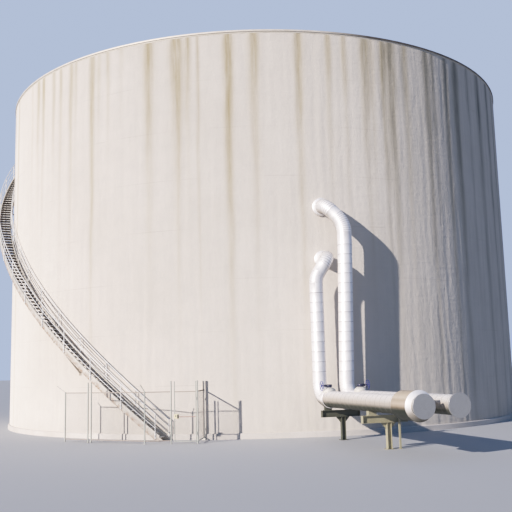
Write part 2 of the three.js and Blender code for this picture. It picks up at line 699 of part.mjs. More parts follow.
// Return panel from the right post back to the wall
{
  const direction = new THREE.Vector3().subVectors(wallEnd, gateRight).normalize();
  const parts = [
    fencePost(gateRight, POST_HEIGHT, direction),
    bar(at(wallEnd, 0), at(wallEnd, POST_HEIGHT), WALL_POST_SIZE, WALL_POST_SIZE, direction),
  ];
  const from = gateRight.clone().addScaledVector(direction, bayEdge);
  const to = wallEnd.clone().addScaledVector(direction, -bayEdge);
  parts.push(bar(at(from, GATE_HEIGHT - 20), at(to, GATE_HEIGHT - 20), 40, 40));
  parts.push(bar(at(from, 120), at(to, 120), 40, 40));
  for (const z of hingeHeights) {
    const axis = hingePoint();
    parts.push(rod(at(axis, z), at(axis, z + 60), 12, 12));
    const inner = gateRight.clone().addScaledVector(leafLine, 12).addScaledVector(outward, 15);
    parts.push(bar(at(axis, z + 30), at(inner, z + 30), 22, 30));
  }
  for (const z of [1750, 450]) {
    const clipStart = around(wallSeat(WALL_POST_ANGLE, 32), WALL_POST_ANGLE, z);
    parts.push(bar(clipStart, around(FLOOR_RADIUS + 40, WALL_POST_ANGLE, z), 60, 60));
  }
  put('return_panel', join(parts), FENCE_GREY);
}

export default tank;
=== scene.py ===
"""Looks of the thermal store tank: weathered sprayed concrete, steel stair, lagged pipes, stair-foot gate."""
import itertools
import math
import random

import bpy
import numpy as np
from mathutils import Matrix, Vector


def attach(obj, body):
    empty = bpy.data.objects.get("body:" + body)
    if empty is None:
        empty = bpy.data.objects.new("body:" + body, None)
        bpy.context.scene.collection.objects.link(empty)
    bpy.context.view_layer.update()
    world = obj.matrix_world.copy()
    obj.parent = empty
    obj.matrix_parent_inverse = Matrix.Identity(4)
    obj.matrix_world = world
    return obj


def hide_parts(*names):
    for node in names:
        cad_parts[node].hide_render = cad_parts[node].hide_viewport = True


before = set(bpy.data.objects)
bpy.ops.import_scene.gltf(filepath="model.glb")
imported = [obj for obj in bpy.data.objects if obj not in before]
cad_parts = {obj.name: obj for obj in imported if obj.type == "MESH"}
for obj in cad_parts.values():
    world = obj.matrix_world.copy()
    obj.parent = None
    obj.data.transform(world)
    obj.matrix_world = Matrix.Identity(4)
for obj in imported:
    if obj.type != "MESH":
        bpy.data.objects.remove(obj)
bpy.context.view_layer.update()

# Sizes in metres, as in the CAD source
TANK_RADIUS = 15.0
WALL_THICKNESS = 0.3
WALL_TOP = 18.6
FLOOR_RADIUS = 15.08
FLOOR_THICKNESS = 0.25
ROOF_RISE = 2.5
ROOF_THICKNESS = 0.15
RIM_HEIGHT = 0.16
RIM_OVERHANG = 0.03
LIFT = WALL_TOP / 8
STEP_COUNT = 98
STEP_ANGLE = 0.905
STEP_RISE = WALL_TOP / STEP_COUNT
STEP_DEPTH = 0.238
STAIR_START = -16.38
STAIR_SLOPE = STEP_RISE / STEP_ANGLE
STAIR_LINE_START = -16.67
STAIR_INNER = TANK_RADIUS + 0.150
STAIR_OUTER = TANK_RADIUS + 0.816
STRINGER_THICKNESS = 0.020
STRINGER_DEPTH = 0.347
FLIGHT_COUNT = 8
FLIGHT_STEPS = 12
BRACKET_START = -26.9
BRACKET_SPACING = 7.6
BRACKET_COUNT = 11
BRACKET_DROP = 0.8
RAIL_TOP = 1.15
RAIL_RADIUS = 0.0225
RAIL_LOWER_RADIUS = 0.0165
RAIL_POST = 0.045
RAIL_POST_RADIUS = 0.0205
RAIL_POST_START = -16.9
INNER_START = -15.65
RAIL_POST_SPACING = 6.1
LANDING_LENGTH = 7.0
LANDING_THICKNESS = 0.2
LANDING_RAIL = 1.1
PIPE_OFFSET = 1.0
TALL_ANGLE = 13.2
TALL_TOP_ANGLE = 13.8
TALL_RADIUS = 0.325
SHORT_ANGLE = 8.9
SHORT_RADIUS = 0.297
SHEET = 0.006
SEAM_SPACING = 0.42
RUN_SEAM_SPACING = 0.38
RUN_RADIUS = 0.335
RUN_HEIGHT = 1.68
RUN_HEADING = 17.1
RUN_LENGTH = 8.9
FOOT_RADIUS = 0.64
FRONT_JOINT = 1.03
REAR_JOINT = 1.38
FLANGE = 0.06
SUPPORT_AT = (0.82, 5.0)
DRUM_FROM = 7.41
DRUM_TO = 8.67
DRUM_RADIUS = 0.485
SLEEVE_RADIUS = 0.378
WHEEL_RADIUS = 0.2
GATE_HEIGHT = 2.15
POST_HEIGHT = 2.57
POST_SIZE = 0.06
WALL_POST_SIZE = 0.075
WALL_POST_ANGLE = -9.55
GAP = 0.0003

UP = Vector((0, 0, 1))
rng = random.Random(7)


def rad(deg):
    return math.radians(deg)


def around(r, deg, z=0.0):
    return Vector((r * math.sin(rad(deg)), -r * math.cos(rad(deg)), z))


def at(p, z):
    return Vector((p.x, p.y, z))


def turned(u, v, part, count=1):
    """Direction that lies part/count of a full turn from u towards v."""
    a = 2 * math.pi * part / count
    return u * math.cos(a) + v * math.sin(a)


# Materials
class Nodes:
    """A small builder for procedural materials."""

    def __init__(self, name):
        self.mat = bpy.data.materials.new(name)
        self.mat.use_nodes = True
        self.tree = self.mat.node_tree
        self.bsdf = self.tree.nodes["Principled BSDF"]
        self.coords = self.new("TexCoord").outputs["Object"]

    def new(self, kind, **settings):
        item = self.tree.nodes.new("ShaderNode" + kind)
        for key, value in settings.items():
            setattr(item, key, value)
        return item

    def feed(self, socket, value):
        """Sets a socket to a number or a colour, or links another node's output to it."""
        if isinstance(value, (int, float)):
            socket.default_value = value
        elif isinstance(value, tuple):
            socket.default_value = (*value, 1.0)
        elif value is not None:
            self.tree.links.new(value, socket)

    def feed_all(self, item, values):
        for key, value in values.items():
            self.feed(item.inputs[key], value)

    def math(self, operation, a, b=None, c=None, clamp=False):
        item = self.new("Math", operation=operation, use_clamp=clamp)
        self.feed_all(item, {0: a, 1: b, 2: c})
        return item.outputs[0]

    def times(self, a, b, clamp=False):
        return self.math("MULTIPLY", a, b, clamp=clamp)

    def separate(self, vector):
        item = self.new("SeparateXYZ")
        self.feed(item.inputs[0], vector)
        return item.outputs

    def combine(self, x, y, z):
        item = self.new("CombineXYZ")
        self.feed_all(item, {0: x, 1: y, 2: z})
        return item.outputs[0]

    def noise(self, vector, scale, detail=4.0, roughness=0.55, distortion=0.0):
        item = self.new("TexNoise")
        self.feed_all(item, {
            "Vector": vector, "Scale": scale, "Detail": detail,
            "Roughness": roughness, "Distortion": distortion,
        })
        return item.outputs["Fac"]

    def drips(self, across, down):
        """Noise in object coordinates scaled by across sideways and by down in height."""
        x, y, z = self.separate(self.coords)
        stretched = self.combine(self.times(x, across), self.times(y, across), self.times(z, down))
        return self.noise(stretched, 1.0, 5.0, 0.6)

    def speckle(self, scale, detail=4.0, roughness=0.55):
        return self.noise(self.coords, scale, detail, roughness)

    def cells(self, vector, scale):
        item = self.new("TexVoronoi", feature="F1")
        self.feed_all(item, {"Scale": scale, "Vector": vector})
        return item.outputs["Distance"]

    def ramp(self, value, stops):
        item = self.new("ValToRGB")
        elements = item.color_ramp.elements
        while len(elements) < len(stops):
            elements.new(0.5)
        for element, (place, shade) in zip(elements, stops):
            element.position = place
            element.color = (*(shade if isinstance(shade, tuple) else (shade,) * 3), 1.0)
        self.feed(item.inputs[0], value)
        return item.outputs[0]

    def between(self, value, low, high):
        return self.ramp(value, [(0.3, low), (0.7, high)])

    def mix(self, factor, a, b):
        item = self.new("Mix", data_type="RGBA", blend_type="MIX")
        self.feed_all(item, {0: factor, 6: a, 7: b})
        return item.outputs[2]

    def stain(self, base, color, mask, low, high, strength):
        """Lays a colour over the base where the mask passes low, at full strength from high on."""
        return self.mix(self.ramp(mask, [(low, 0.0), (high, strength)]), base, color)

    def attribute(self, name):
        return self.new("Attribute", attribute_name=name).outputs["Fac"]

    def facing_up(self):
        """Height of the surface normal: 1 on top, -1 underneath."""
        return self.separate(self.new("NewGeometry").outputs["Normal"])[2]

    def facing_down(self, cloud, spread):
        """0 on top to 1 underneath, with its borders blurred by the cloud noise."""
        under = self.math("MULTIPLY_ADD", self.facing_up(), -0.5, 0.5, clamp=True)
        return self.math("ADD", under, self.times(self.math("SUBTRACT", cloud, 0.5), spread))

    def bump(self, height, strength, distance, previous=None):
        item = self.new("Bump")
        self.feed_all(item, {"Strength": strength, "Distance": distance, "Height": height, "Normal": previous})
        return item.outputs[0]

    def finish(self, color, roughness, normal=None, metallic=0.0):
        self.feed_all(self.bsdf, {
            "Base Color": color, "Roughness": roughness, "Normal": normal, "Metallic": metallic,
        })
        return self.mat


def shaded(color, factor):
    return tuple(c * factor for c in color)


def wall_material():
    """Sprayed off-white concrete with khaki streaks, grime streaks, painted shade on the side away from the
    light, faint joints between lifts and fine relief.
    """
    n = Nodes("sprayed_concrete")
    x, y, z = n.separate(n.coords)
    run = n.times(n.math("ARCTAN2", x, n.times(y, -1.0)), TANK_RADIUS)
    flat = n.combine(run, z, 0.0)
    streaky = n.combine(run, n.times(z, 0.07), 0.3)
    ripple = n.combine(n.times(run, 0.3), n.times(z, 2.6), 0.7)
    broad = n.noise(flat, 0.22, 3.0)
    fine_streak = n.noise(streaky, 2.6, 6.0, 0.65)
    cloud = n.noise(flat, 1.3, 6.0, 0.65)
    base = n.between(broad, (0.735, 0.690, 0.640), (0.790, 0.745, 0.700))
    base = n.stain(base, (0.64, 0.60, 0.545), fine_streak, 0.42, 0.78, 0.2)
    base = n.stain(base, (0.62, 0.595, 0.57), cloud, 0.45, 0.8, 0.28)
    broken = n.ramp(n.noise(streaky, 5.0, 6.0, 0.65), [(0.25, 0.3), (0.62, 1.0)])
    stain = n.times(n.attribute("stain"), broken, clamp=True)
    base = n.mix(stain, base, (0.46, 0.385, 0.245))
    # Grime streaks and painted shade on the side away from the light, mixed in as dark grey
    grime_and_shade = n.times(n.attribute("grime_and_shade"), broken, clamp=True)
    base = n.mix(grime_and_shade, base, (0.20, 0.205, 0.20))
    level = n.math("PINGPONG", n.math("ADD", z, LIFT * 0.5), LIFT * 0.5)
    wobble = n.times(n.noise(flat, 0.6, 3.0), 0.10)
    offset = n.math("SUBTRACT", level, n.math("ADD", wobble, LIFT * 0.5 - 0.06))
    line = n.math("LESS_THAN", n.math("ABSOLUTE", offset), 0.006)
    seen = n.ramp(n.noise(flat, 0.25, 2.0), [(0.46, 0.0), (0.6, 0.28)])
    base = n.mix(n.times(line, seen), base, (0.38, 0.34, 0.30))
    folds = n.noise(n.combine(run, n.times(z, 0.22), 1.7), 3.2, 4.0, 0.55, 0.5)
    lumps = n.noise(n.combine(run, n.times(z, 0.8), 4.1), 5.5, 5.0, 0.6)
    grain = n.noise(flat, 26.0, 5.0, 0.6)
    normal = n.bump(folds, 0.55, 0.03)
    normal = n.bump(lumps, 0.8, 0.014, normal)
    normal = n.bump(n.noise(ripple, 3.0, 4.0), 0.7, 0.014, normal)
    normal = n.bump(grain, 0.5, 0.004, normal)
    n.bsdf.inputs["Diffuse Roughness"].default_value = 0.8
    n.bsdf.inputs["Specular IOR Level"].default_value = 0.25
    return n.finish(base, n.between(cloud, 0.85, 0.96), normal)


def rim_material():
    """Edge flashing: pale on the lit front left, and dark brown in patches from 12° on round to the right and
    behind, a painted shade on the side turned from the light.
    """
    n = Nodes("rim_flashing")
    x, y, z = n.separate(n.coords)
    angle = n.times(n.math("ARCTAN2", x, n.times(y, -1.0)), 180 / math.pi)
    patchy = n.noise(n.combine(n.times(angle, 0.26), n.times(z, 6.0), 0.0), 2.2, 6.0, 0.65)
    onward = n.math("DIVIDE", n.math("SUBTRACT", angle, 12.0), 12.0, clamp=True)
    behind = n.math("DIVIDE", n.math("SUBTRACT", 178.0, angle), 50.0, clamp=True)
    # Painted shade: dark brown from 12° on, fading out again towards 178°, broken into patches
    shade_side = n.times(n.ramp(onward, [(0.0, 0.05), (0.8, 1.0)]), behind)
    patchy_shade = n.times(shade_side, n.ramp(patchy, [(0.30, 0.75), (0.5, 1.0)]))
    base = n.ramp(patchy, [(0.35, (0.62, 0.56, 0.48)), (0.65, (0.74, 0.70, 0.65))])
    base = n.mix(patchy_shade, base, (0.085, 0.070, 0.060))
    return n.finish(base, n.between(patchy, 0.5, 0.75), n.bump(patchy, 0.4, 0.004), 0.15)


def concrete_material(name, light, dark):
    n = Nodes(name)
    cloud = n.speckle(0.5, 6.0, 0.6)
    grain = n.speckle(22.0, 4.0, 0.6)
    base = n.between(cloud, dark, light)
    base = n.stain(base, shaded(dark, 0.7), grain, 0.45, 0.9, 0.3)
    return n.finish(base, n.between(grain, 0.8, 0.95), n.bump(grain, 0.4, 0.006))


def painted_material(name, color, rust=(0.30, 0.15, 0.07), wear=0.25, roughness=0.5):
    n = Nodes(name)
    patchy = n.speckle(2.4, 6.0, 0.62)
    specks = n.speckle(30.0, 5.0, 0.65)
    drips = n.drips(9.0, 1.4)
    base = n.between(patchy, shaded(color, 0.88), color)
    base = n.stain(base, shaded(color, 0.62), drips, 0.5, 0.85, 0.45)
    spots = n.times(n.ramp(specks, [(0.56, 0.0), (0.72, 1.0)]), n.ramp(patchy, [(0.5, 0.0), (0.68, 1.0)]))
    base = n.mix(n.times(spots, wear * 2.2, clamp=True), base, rust)
    rough = n.between(specks, roughness - 0.08, roughness + 0.14)
    return n.finish(base, rough, n.bump(specks, 0.25, 0.0015))


def stringer_material():
    """Off-white paint with rust along the lower edge, from the edge attribute."""
    n = Nodes("stair_paint")
    patchy = n.speckle(3.0, 6.0, 0.65)
    specks = n.speckle(24.0, 5.0, 0.65)
    base = n.between(patchy, (0.55, 0.53, 0.49), (0.66, 0.64, 0.60))
    rusty = n.ramp(n.speckle(7.0, 6.0, 0.7), [(0.38, 0.15), (0.62, 1.0)])
    base = n.stain(base, (0.46, 0.40, 0.34), specks, 0.55, 0.8, 0.35)
    base = n.mix(n.times(n.attribute("edge"), rusty, clamp=True), base, (0.27, 0.15, 0.085))
    return n.finish(base, n.between(specks, 0.45, 0.68), n.bump(specks, 0.3, 0.002))


def galvanised_material(name, color=(0.55, 0.56, 0.57), roughness=0.5, metallic=0.55):
    n = Nodes(name)
    spangle = n.cells(n.coords, 55.0)
    cloud = n.speckle(3.5, 5.0, 0.6)
    base = n.ramp(spangle, [(0.1, shaded(color, 0.86)), (0.7, color)])
    base = n.stain(base, shaded(color, 0.65), cloud, 0.5, 0.8, 0.4)
    rough = n.between(cloud, roughness - 0.08, roughness + 0.12)
    return n.finish(base, rough, n.bump(spangle, 0.12, 0.001), metallic)


def cladding_material(name, tan=None, dark=None):
    """Bright rolled sheet; level pipes turn tan and then dark green-brown towards the underside, a painted
    shade and painted reflection of the ground; on the other pipes faces turned down get a tan painted shade.
    """
    n = Nodes(name)
    dents = n.speckle(2.4, 3.0, 0.5)
    cloud = n.speckle(3.5, 6.0, 0.62)
    fine = n.speckle(70.0, 4.0, 0.6)
    drips = n.drips(8.0, 1.0)
    base = n.between(cloud, (0.80, 0.78, 0.785), (0.90, 0.885, 0.89))
    base = n.stain(base, (0.64, 0.62, 0.61), fine, 0.5, 0.9, 0.2)
    base = n.stain(base, (0.60, 0.55, 0.50), drips, 0.52, 0.8, 0.22)
    if tan:
        # Painted shade and a painted reflection of the ground: tan, then dark green-brown, towards the
        # underside
        under = n.facing_down(cloud, 0.10)
        base = n.mix(n.ramp(under, tan), base, (0.46, 0.40, 0.335))
        base = n.mix(n.ramp(under, dark), base, (0.040, 0.046, 0.030))
    else:
        # Painted shade: faces turned downwards get a tan tint
        base = n.mix(n.ramp(n.times(n.facing_up(), -1.0), [(0.2, 0.0), (0.8, 0.7)]), base, (0.46, 0.39, 0.31))
    normal = n.bump(dents, 0.10, 0.012)
    normal = n.bump(fine, 0.10, 0.0008, normal)
    return n.finish(base, n.between(cloud, 0.46, 0.58), normal, metallic=0.35)


def drum_material():
    """Smooth tan sheet; the lengthwise bands of tone are painted reflections, and the dark greenish underside
    is painted shade and a painted reflection of the ground.
    """
    n = Nodes("drum_sheet")
    cloud = n.speckle(4.0, 5.0, 0.6)
    # Tone by how far the face turns down: painted reflections in bands along the sides, painted shade and
    # reflection of the ground underneath
    base = n.ramp(n.facing_down(cloud, 0.04), [
        (0.10, (0.46, 0.39, 0.31)), (0.22, (0.52, 0.455, 0.375)), (0.30, (0.38, 0.315, 0.25)),
        (0.42, (0.50, 0.415, 0.34)), (0.50, (0.38, 0.305, 0.235)), (0.56, (0.17, 0.14, 0.10)),
        (0.64, (0.022, 0.027, 0.017)),
    ])
    return n.finish(base, n.between(cloud, 0.45, 0.6), n.bump(cloud, 0.1, 0.002), metallic=0.1)


# Mesh building
def skin(rings, closed=False):
    """Faces between neighbouring rings of vertex numbers; a ring of one vertex is a tip."""
    faces = []
    for a, b in zip(rings, rings[1:] + rings[:1] if closed else rings[1:]):
        count = max(len(a), len(b))
        if count == 1:
            continue
        for k in range(count):
            m = (k + 1) % count
            corners = (a[k % len(a)], a[m % len(a)], b[m % len(b)], b[k % len(b)])
            faces.append(tuple(dict.fromkeys(corners)))
    return faces


class Shape:
    """Collects vertices and faces, with a material index for each face."""

    def __init__(self):
        self.verts = []
        self.faces = []
        self.mats = []
        self.edge = []

    def add(self, verts, faces, mat=0, edge=None):
        start = len(self.verts)
        self.verts.extend(tuple(v) for v in verts)
        self.edge.extend(edge if edge is not None else [0.0] * len(verts))
        for face in faces:
            self.faces.append(tuple(start + i for i in face))
            self.mats.append(mat)

    def box(self, a, b, width, height, up=UP, mat=0):
        """Bar from a to b; width is across, height follows up."""
        axis = (b - a).normalized()
        side = up.cross(axis)
        if side.length < 0.05:
            side = Vector((1, 0, 0)).cross(axis)
        side.normalize()
        rise = axis.cross(side).normalized()
        verts = []
        for end in (a, b):
            for i, j in ((-1, -1), (1, -1), (1, 1), (-1, 1)):
                verts.append(end + side * (i * width / 2) + rise * (j * height / 2))
        faces = [(3, 2, 1, 0), (4, 5, 6, 7), (0, 1, 5, 4), (1, 2, 6, 5), (2, 3, 7, 6), (3, 0, 4, 7)]
        self.add(verts, faces, mat)

    def polar(self, r0, r1, deg0, deg1, low, high, steps=1, mat=0, edge=False):
        """Block bounded by radius, angle and height; low and high are numbers or functions of angle."""
        verts = []
        marks = []
        for i in range(steps + 1):
            deg = deg0 + (deg1 - deg0) * i / steps
            z0 = low(deg) if callable(low) else low
            z1 = high(deg) if callable(high) else high
            for r, z, m in ((r0, z0, 1.0), (r1, z0, 1.0), (r1, z1, 0.0), (r0, z1, 0.0)):
                verts.append(around(r, deg, z))
                marks.append(m if edge else 0.0)
        faces = [(0, 1, 2, 3), tuple(4 * steps + k for k in (3, 2, 1, 0))]
        for i in range(steps):
            for k in range(4):
                a, b = 4 * i + k, 4 * i + (k + 1) % 4
                faces.append((b, a, a + 4, b + 4))
        if deg1 < deg0:
            faces = [tuple(reversed(f)) for f in faces]
        self.add(verts, faces, mat, marks)

    def tube(self, points, radius, sides=16, mat=0, caps=True, closed=False):
        """Round tube along points; radius is a number or one per point."""
        count = len(points)
        radii = radius if isinstance(radius, (list, tuple)) else [radius] * count
        tangents = []
        for i in range(count):
            before = points[(i - 1) % count] if closed or i else points[i]
            after = points[(i + 1) % count] if closed or i < count - 1 else points[i]
            t = after - before
            tangents.append(t.normalized() if t.length > 1e-9 else tangents[-1])
        ref = UP if abs(tangents[0].z) < 0.9 else Vector((1, 0, 0))
        side = (ref - tangents[0] * ref.dot(tangents[0])).normalized()
        verts = []
        for i in range(count):
            side = (side - tangents[i] * side.dot(tangents[i])).normalized()
            other = tangents[i].cross(side)
            verts.extend(points[i] + turned(side, other, k, sides) * radii[i] for k in range(sides))
        rings = [range(sides * i, sides * (i + 1)) for i in range(count)]
        faces = skin(rings, closed)
        if caps and not closed:
            faces.extend((tuple(reversed(rings[0])), tuple(rings[-1])))
        self.add(verts, faces, mat)

    def lathe(self, profile, base, axis, segments=48, mat=0):
        """Turned form: profile points are (radius, distance along axis)."""
        axis = axis.normalized()
        ref = UP if abs(axis.z) < 0.9 else Vector((1, 0, 0))
        u = (ref - axis * ref.dot(axis)).normalized()
        v = axis.cross(u)
        verts = []
        rings = []
        for r, h in profile:
            count = segments if r > 1e-6 else 1
            rings.append(range(len(verts), len(verts) + count))
            verts.extend(base + axis * h + turned(u, v, k, segments) * r for k in range(count))
        self.add(verts, skin(rings, closed=True), mat)

    def bolt(self, place, axis, size=0.012, mat=0):
        """Hexagon bolt head with a washer, standing on a face."""
        washer = [(0, 0), (1.25, 0), (1.25, 0.2), (0, 0.2)]
        head = [(0, 0.2), (1, 0.2), (1, 0.85), (0.8, 1), (0, 1)]
        for profile, sides in ((washer, 12), (head, 6)):
            self.lathe([(size * r, size * h) for r, h in profile], place, axis, sides, mat)

    def bolt_circle(self, centre, u, v, radius, count, axis, size, mat, shift=0.0):
        """Bolts evenly round a circle, the first one lying shift steps from u towards v."""
        for i in range(count):
            self.bolt(centre + turned(u, v, i + shift, count) * radius, axis, size, mat)


def add_object(name, data):
    obj = bpy.data.objects.new(name, data)
    bpy.context.scene.collection.objects.link(obj)
    return obj


def piece(name, shape, finishes, slot, body="tank", replaces=(), smooth=35.0, bevel=0.0):
    """Makes the mesh object, sets its materials and body, and hides the CAD nodes it stands for."""
    mesh = bpy.data.meshes.new(name)
    mesh.from_pydata(shape.verts, [], shape.faces)
    for finish in finishes:
        mesh.materials.append(MAT[finish])
    mesh.polygons.foreach_set("material_index", shape.mats)
    mesh.polygons.foreach_set("use_smooth", [True] * len(shape.faces))
    if any(shape.edge):
        mesh.attributes.new("edge", "FLOAT", "POINT").data.foreach_set("value", shape.edge)
    mesh.validate()
    mesh.update()
    mesh.set_sharp_from_angle(angle=rad(smooth))
    obj = add_object(name, mesh)
    if bevel:
        mod = obj.modifiers.new("edges", "BEVEL")
        mod.width = bevel
        mod.segments = 2
        mod.limit_method = "ANGLE"
        mod.angle_limit = rad(40)
    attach(obj, body)
    if replaces:
        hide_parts(*replaces)
    return obj


def cover(node, shape, finishes, slot, **more):
    """Makes the piece that stands for one CAD node."""
    return piece(node + "_look", shape, finishes, slot, replaces=[node], **more)


MAT = {
    "wall": wall_material(),
    "roof": concrete_material("roof_concrete", (0.58, 0.57, 0.54), (0.44, 0.43, 0.41)),
    "rim": rim_material(),
    "rim_band": concrete_material("rim_concrete", (0.66, 0.61, 0.54), (0.50, 0.46, 0.40)),
    "slab": concrete_material("slab_concrete", (0.72, 0.68, 0.65), (0.60, 0.56, 0.52)),
    "stair": stringer_material(),
    "tread": galvanised_material("tread_steel", (0.60, 0.60, 0.59), 0.55),
    "rail": galvanised_material("rail_steel", (0.76, 0.76, 0.76), 0.5, 0.2),
    "nosing": painted_material("nosing_white", (0.82, 0.80, 0.76), wear=0.05),
    # Dark paint under the treads and on their back edges: painted shade
    "tread_under": painted_material("tread_underside_painted_shade", (0.16, 0.115, 0.085), wear=0.3),
    "bracket": painted_material("bracket_paint", (0.46, 0.40, 0.34), wear=0.5),
    # Tan and dark ramps on the underside of level pipes and bends: painted shade and a painted reflection of
    # the ground
    "cladding": cladding_material(
        "aluminium_cladding", tan=[(0.10, 0.15), (0.46, 0.85)], dark=[(0.52, 0.0), (0.74, 0.96)],
    ),
    "bend": cladding_material(
        "bend_cladding", tan=[(0.50, 0.0), (0.68, 0.8)], dark=[(0.60, 0.0), (0.84, 0.9)],
    ),
    "bright": cladding_material("bright_sheet"),
    # Dark edge of the lapped seams: a painted shadow of the lap
    "seam": galvanised_material("seam_painted_shadow", (0.20, 0.19, 0.19), 0.5),
    "rib": galvanised_material("rib_edge", (0.46, 0.44, 0.43), 0.5),
    "band": galvanised_material("band_steel", (0.42, 0.42, 0.42), 0.4),
    "drum": drum_material(),
    "support": painted_material("support_paint", (0.40, 0.375, 0.27), wear=0.3),
    # Near-black paint for support 1: painted shade
    "support_shade": painted_material("support_painted_shade", (0.105, 0.11, 0.085), wear=0.3),
    "valve": painted_material("valve_paint", (0.66, 0.64, 0.60), wear=0.2),
    "gearbox": painted_material("gearbox_paint", (0.030, 0.034, 0.075), wear=0.06, roughness=0.4),
    "wheel": painted_material("wheel_paint", (0.035, 0.05, 0.30), wear=0.08, roughness=0.35),
    "fence": galvanised_material("fence_steel", (0.50, 0.51, 0.47), 0.55),
    "top_rail": painted_material("rail_brown", (0.42, 0.36, 0.32), wear=0.3),
    "bar": painted_material("bar_red_brown", (0.50, 0.36, 0.31), wear=0.3),
    "white": painted_material("post_white", (0.80, 0.77, 0.70), wear=0.1),
    "mesh": galvanised_material("mesh_wire", (0.46, 0.46, 0.44), 0.5),
    "dark": painted_material("dark_iron", (0.06, 0.06, 0.06), wear=0.1),
    "lock": painted_material("lock_cream", (0.76, 0.69, 0.48), wear=0.05),
}


# Tank
# Stains and grime that run down the wall: angle, half width in degrees, reach in metres, strength
STREAKS = [
    (-63.2, 0.5, 16.0, 0.60), (-52.8, 0.4, 5.0, 0.30), (-49.8, 0.6, 4.0, 0.60), (-47.6, 0.5, 5.0, 0.70),
    (-43.5, 0.5, 3.5, 0.55), (-41.1, 0.45, 5.0, 0.50), (-37.8, 0.5, 5.5, 0.60), (-36.5, 0.4, 2.5, 0.45),
    (-32.0, 0.5, 9.0, 0.85), (-30.3, 0.4, 3.0, 0.35), (-28.1, 0.4, 3.0, 0.45), (-25.1, 0.4, 2.5, 0.20),
    (-19.3, 0.8, 6.0, 0.75), (-13.9, 0.95, 4.5, 0.90), (-13.7, 0.35, 9.0, 0.40), (-11.8, 0.5, 4.0, 0.60),
    (-10.0, 0.25, 9.0, 0.45), (-4.5, 0.65, 9.0, 1.00), (0.1, 0.75, 6.0, 0.75), (8.0, 0.6, 8.0, 0.75),
    (13.5, 0.5, 4.5, 0.60), (16.6, 0.45, 5.0, 0.55), (20.6, 0.7, 6.0, 0.80), (22.0, 0.5, 5.0, 0.50),
    (24.4, 0.6, 6.5, 0.75), (26.2, 0.8, 7.5, 0.85), (29.6, 0.6, 6.5, 0.60), (34.9, 0.7, 10.0, 0.55),
    (36.6, 0.4, 6.0, 0.45), (40.5, 0.6, 12.0, 0.40), (43.9, 0.8, 12.0, 0.40),
]
GRIMES = [
    (20.6, 0.5, 5.5, 0.35), (24.6, 0.4, 7.0, 0.45), (26.2, 0.6, 8.0, 0.55), (29.0, 0.4, 7.0, 0.35),
    (34.9, 0.5, 12.0, 0.50), (36.8, 0.4, 8.0, 0.35), (40.5, 0.5, 14.0, 0.50), (43.9, 0.7, 14.0, 0.60),
    (48.7, 0.5, 8.0, 0.40), (53.6, 0.8, 15.0, 0.60), (59.7, 0.7, 14.0, 0.55), (65.0, 0.6, 14.0, 0.45),
]
# Painted shade, an even darkening on the side away from the light: strength, angle where it begins, degrees
# over which it grows
PAINTED_SHADE_SIDE = ((0.20, 17, 14), (0.26, 44, 24))
RELIEF_DEPTH = 0.018
WALL_COLUMNS = 1200
WALL_ROWS = 60
TOP_ROWS = 10
TOP_BAND = 1.2


def streak_masks(angles, heights):
    """Stain and grime streaks over the wall, drop-shaped at the rim, then narrow and fading downwards; the
    grime mask is also darker in the lowest metre and adds painted shade on the side away from the light.
    """
    rows, cols = np.asarray(heights)[:, None], np.asarray(angles)[None, :]
    drop = WALL_TOP - rows
    stain = np.zeros((len(heights), len(angles)))
    grime_and_shade = np.zeros_like(stain)
    more = [
        (ang, 0.3 + 0.6 * rng.random(), 2.5 + 7.0 * rng.random(), 0.25 + 0.55 * rng.random())
        for ang in [70 + 4.1 * k + 2.5 * rng.random() for k in range(55)]
    ]
    for target, streaks in ((stain, STREAKS + more), (grime_and_shade, GRIMES + more[::3])):
        for ang, width, reach, strength in streaks:
            off = (cols - ang + 180) % 360 - 180
            sway = 0.25 * np.sin(rows * 0.7 + ang) + 0.12 * np.sin(rows * 1.9 + 2 * ang)
            swell = 0.35 + 0.65 * (1 - np.exp(-drop / 0.22))
            narrow = 1.4 * width * swell * (0.5 + 0.5 * np.exp(-drop / reach))
            fade = np.exp(-np.clip(drop / reach, 0, 9) ** 1.4)
            target += 1.3 * strength * fade * np.exp(-(((off - 0.3 * sway) / narrow) ** 2))
    edge = np.clip(1 - drop / 0.35, 0, 1)
    stain += 0.15 * edge * (0.5 + 0.5 * np.sin(cols * 1.7))
    grime_and_shade += 0.12 * np.clip(1 - rows, 0, 1)
    # Painted shade: an even darkening on the side away from the light
    for strength, begin, spread in PAINTED_SHADE_SIDE:
        grime_and_shade += strength * np.clip((cols - begin) / spread, 0, 1) * np.clip((120 - cols) / 30, 0, 1)
    return np.clip(stain, 0, 1), np.clip(grime_and_shade, 0, 1)


def relief(angles, heights):
    """Ridges left by the spraying: waves that wander with height, all inside the true radius."""
    draw = np.random.default_rng(5)

    def phase():
        return draw.uniform(0, 6.28)

    u = np.radians(np.asarray(angles))[None, :]
    z = np.asarray(heights)[:, None]
    warp = np.zeros((len(heights), len(angles)))
    for _ in range(10):
        turns, rate = draw.integers(4, 40), draw.uniform(0.5, 3.2)
        warp += draw.uniform(0.0008, 0.0024) / (0.5 + rate / 2) * np.sin(turns * u + rate * z + phase())
    total = np.zeros_like(warp)
    for _ in range(90):
        waves = draw.integers(60, 290)
        drift = draw.uniform(0.4, 1.8) * np.sin(z * draw.uniform(0.12, 0.5) + phase())
        patch = 0.5 + 0.5 * np.sin(draw.integers(5, 30) * u + z * draw.uniform(0.1, 0.6) + phase())
        total += (160 / waves) ** 0.5 * patch * np.cos(waves * (u + warp) + drift + phase())
    total /= total.std()
    ridged = 1.4 - 2.0 * np.abs(np.tanh(total * 0.9))
    mixed = 0.62 * total + 0.38 * ridged
    return np.clip(RELIEF_DEPTH * (-0.5 + 0.24 * mixed), -RELIEF_DEPTH, 0)


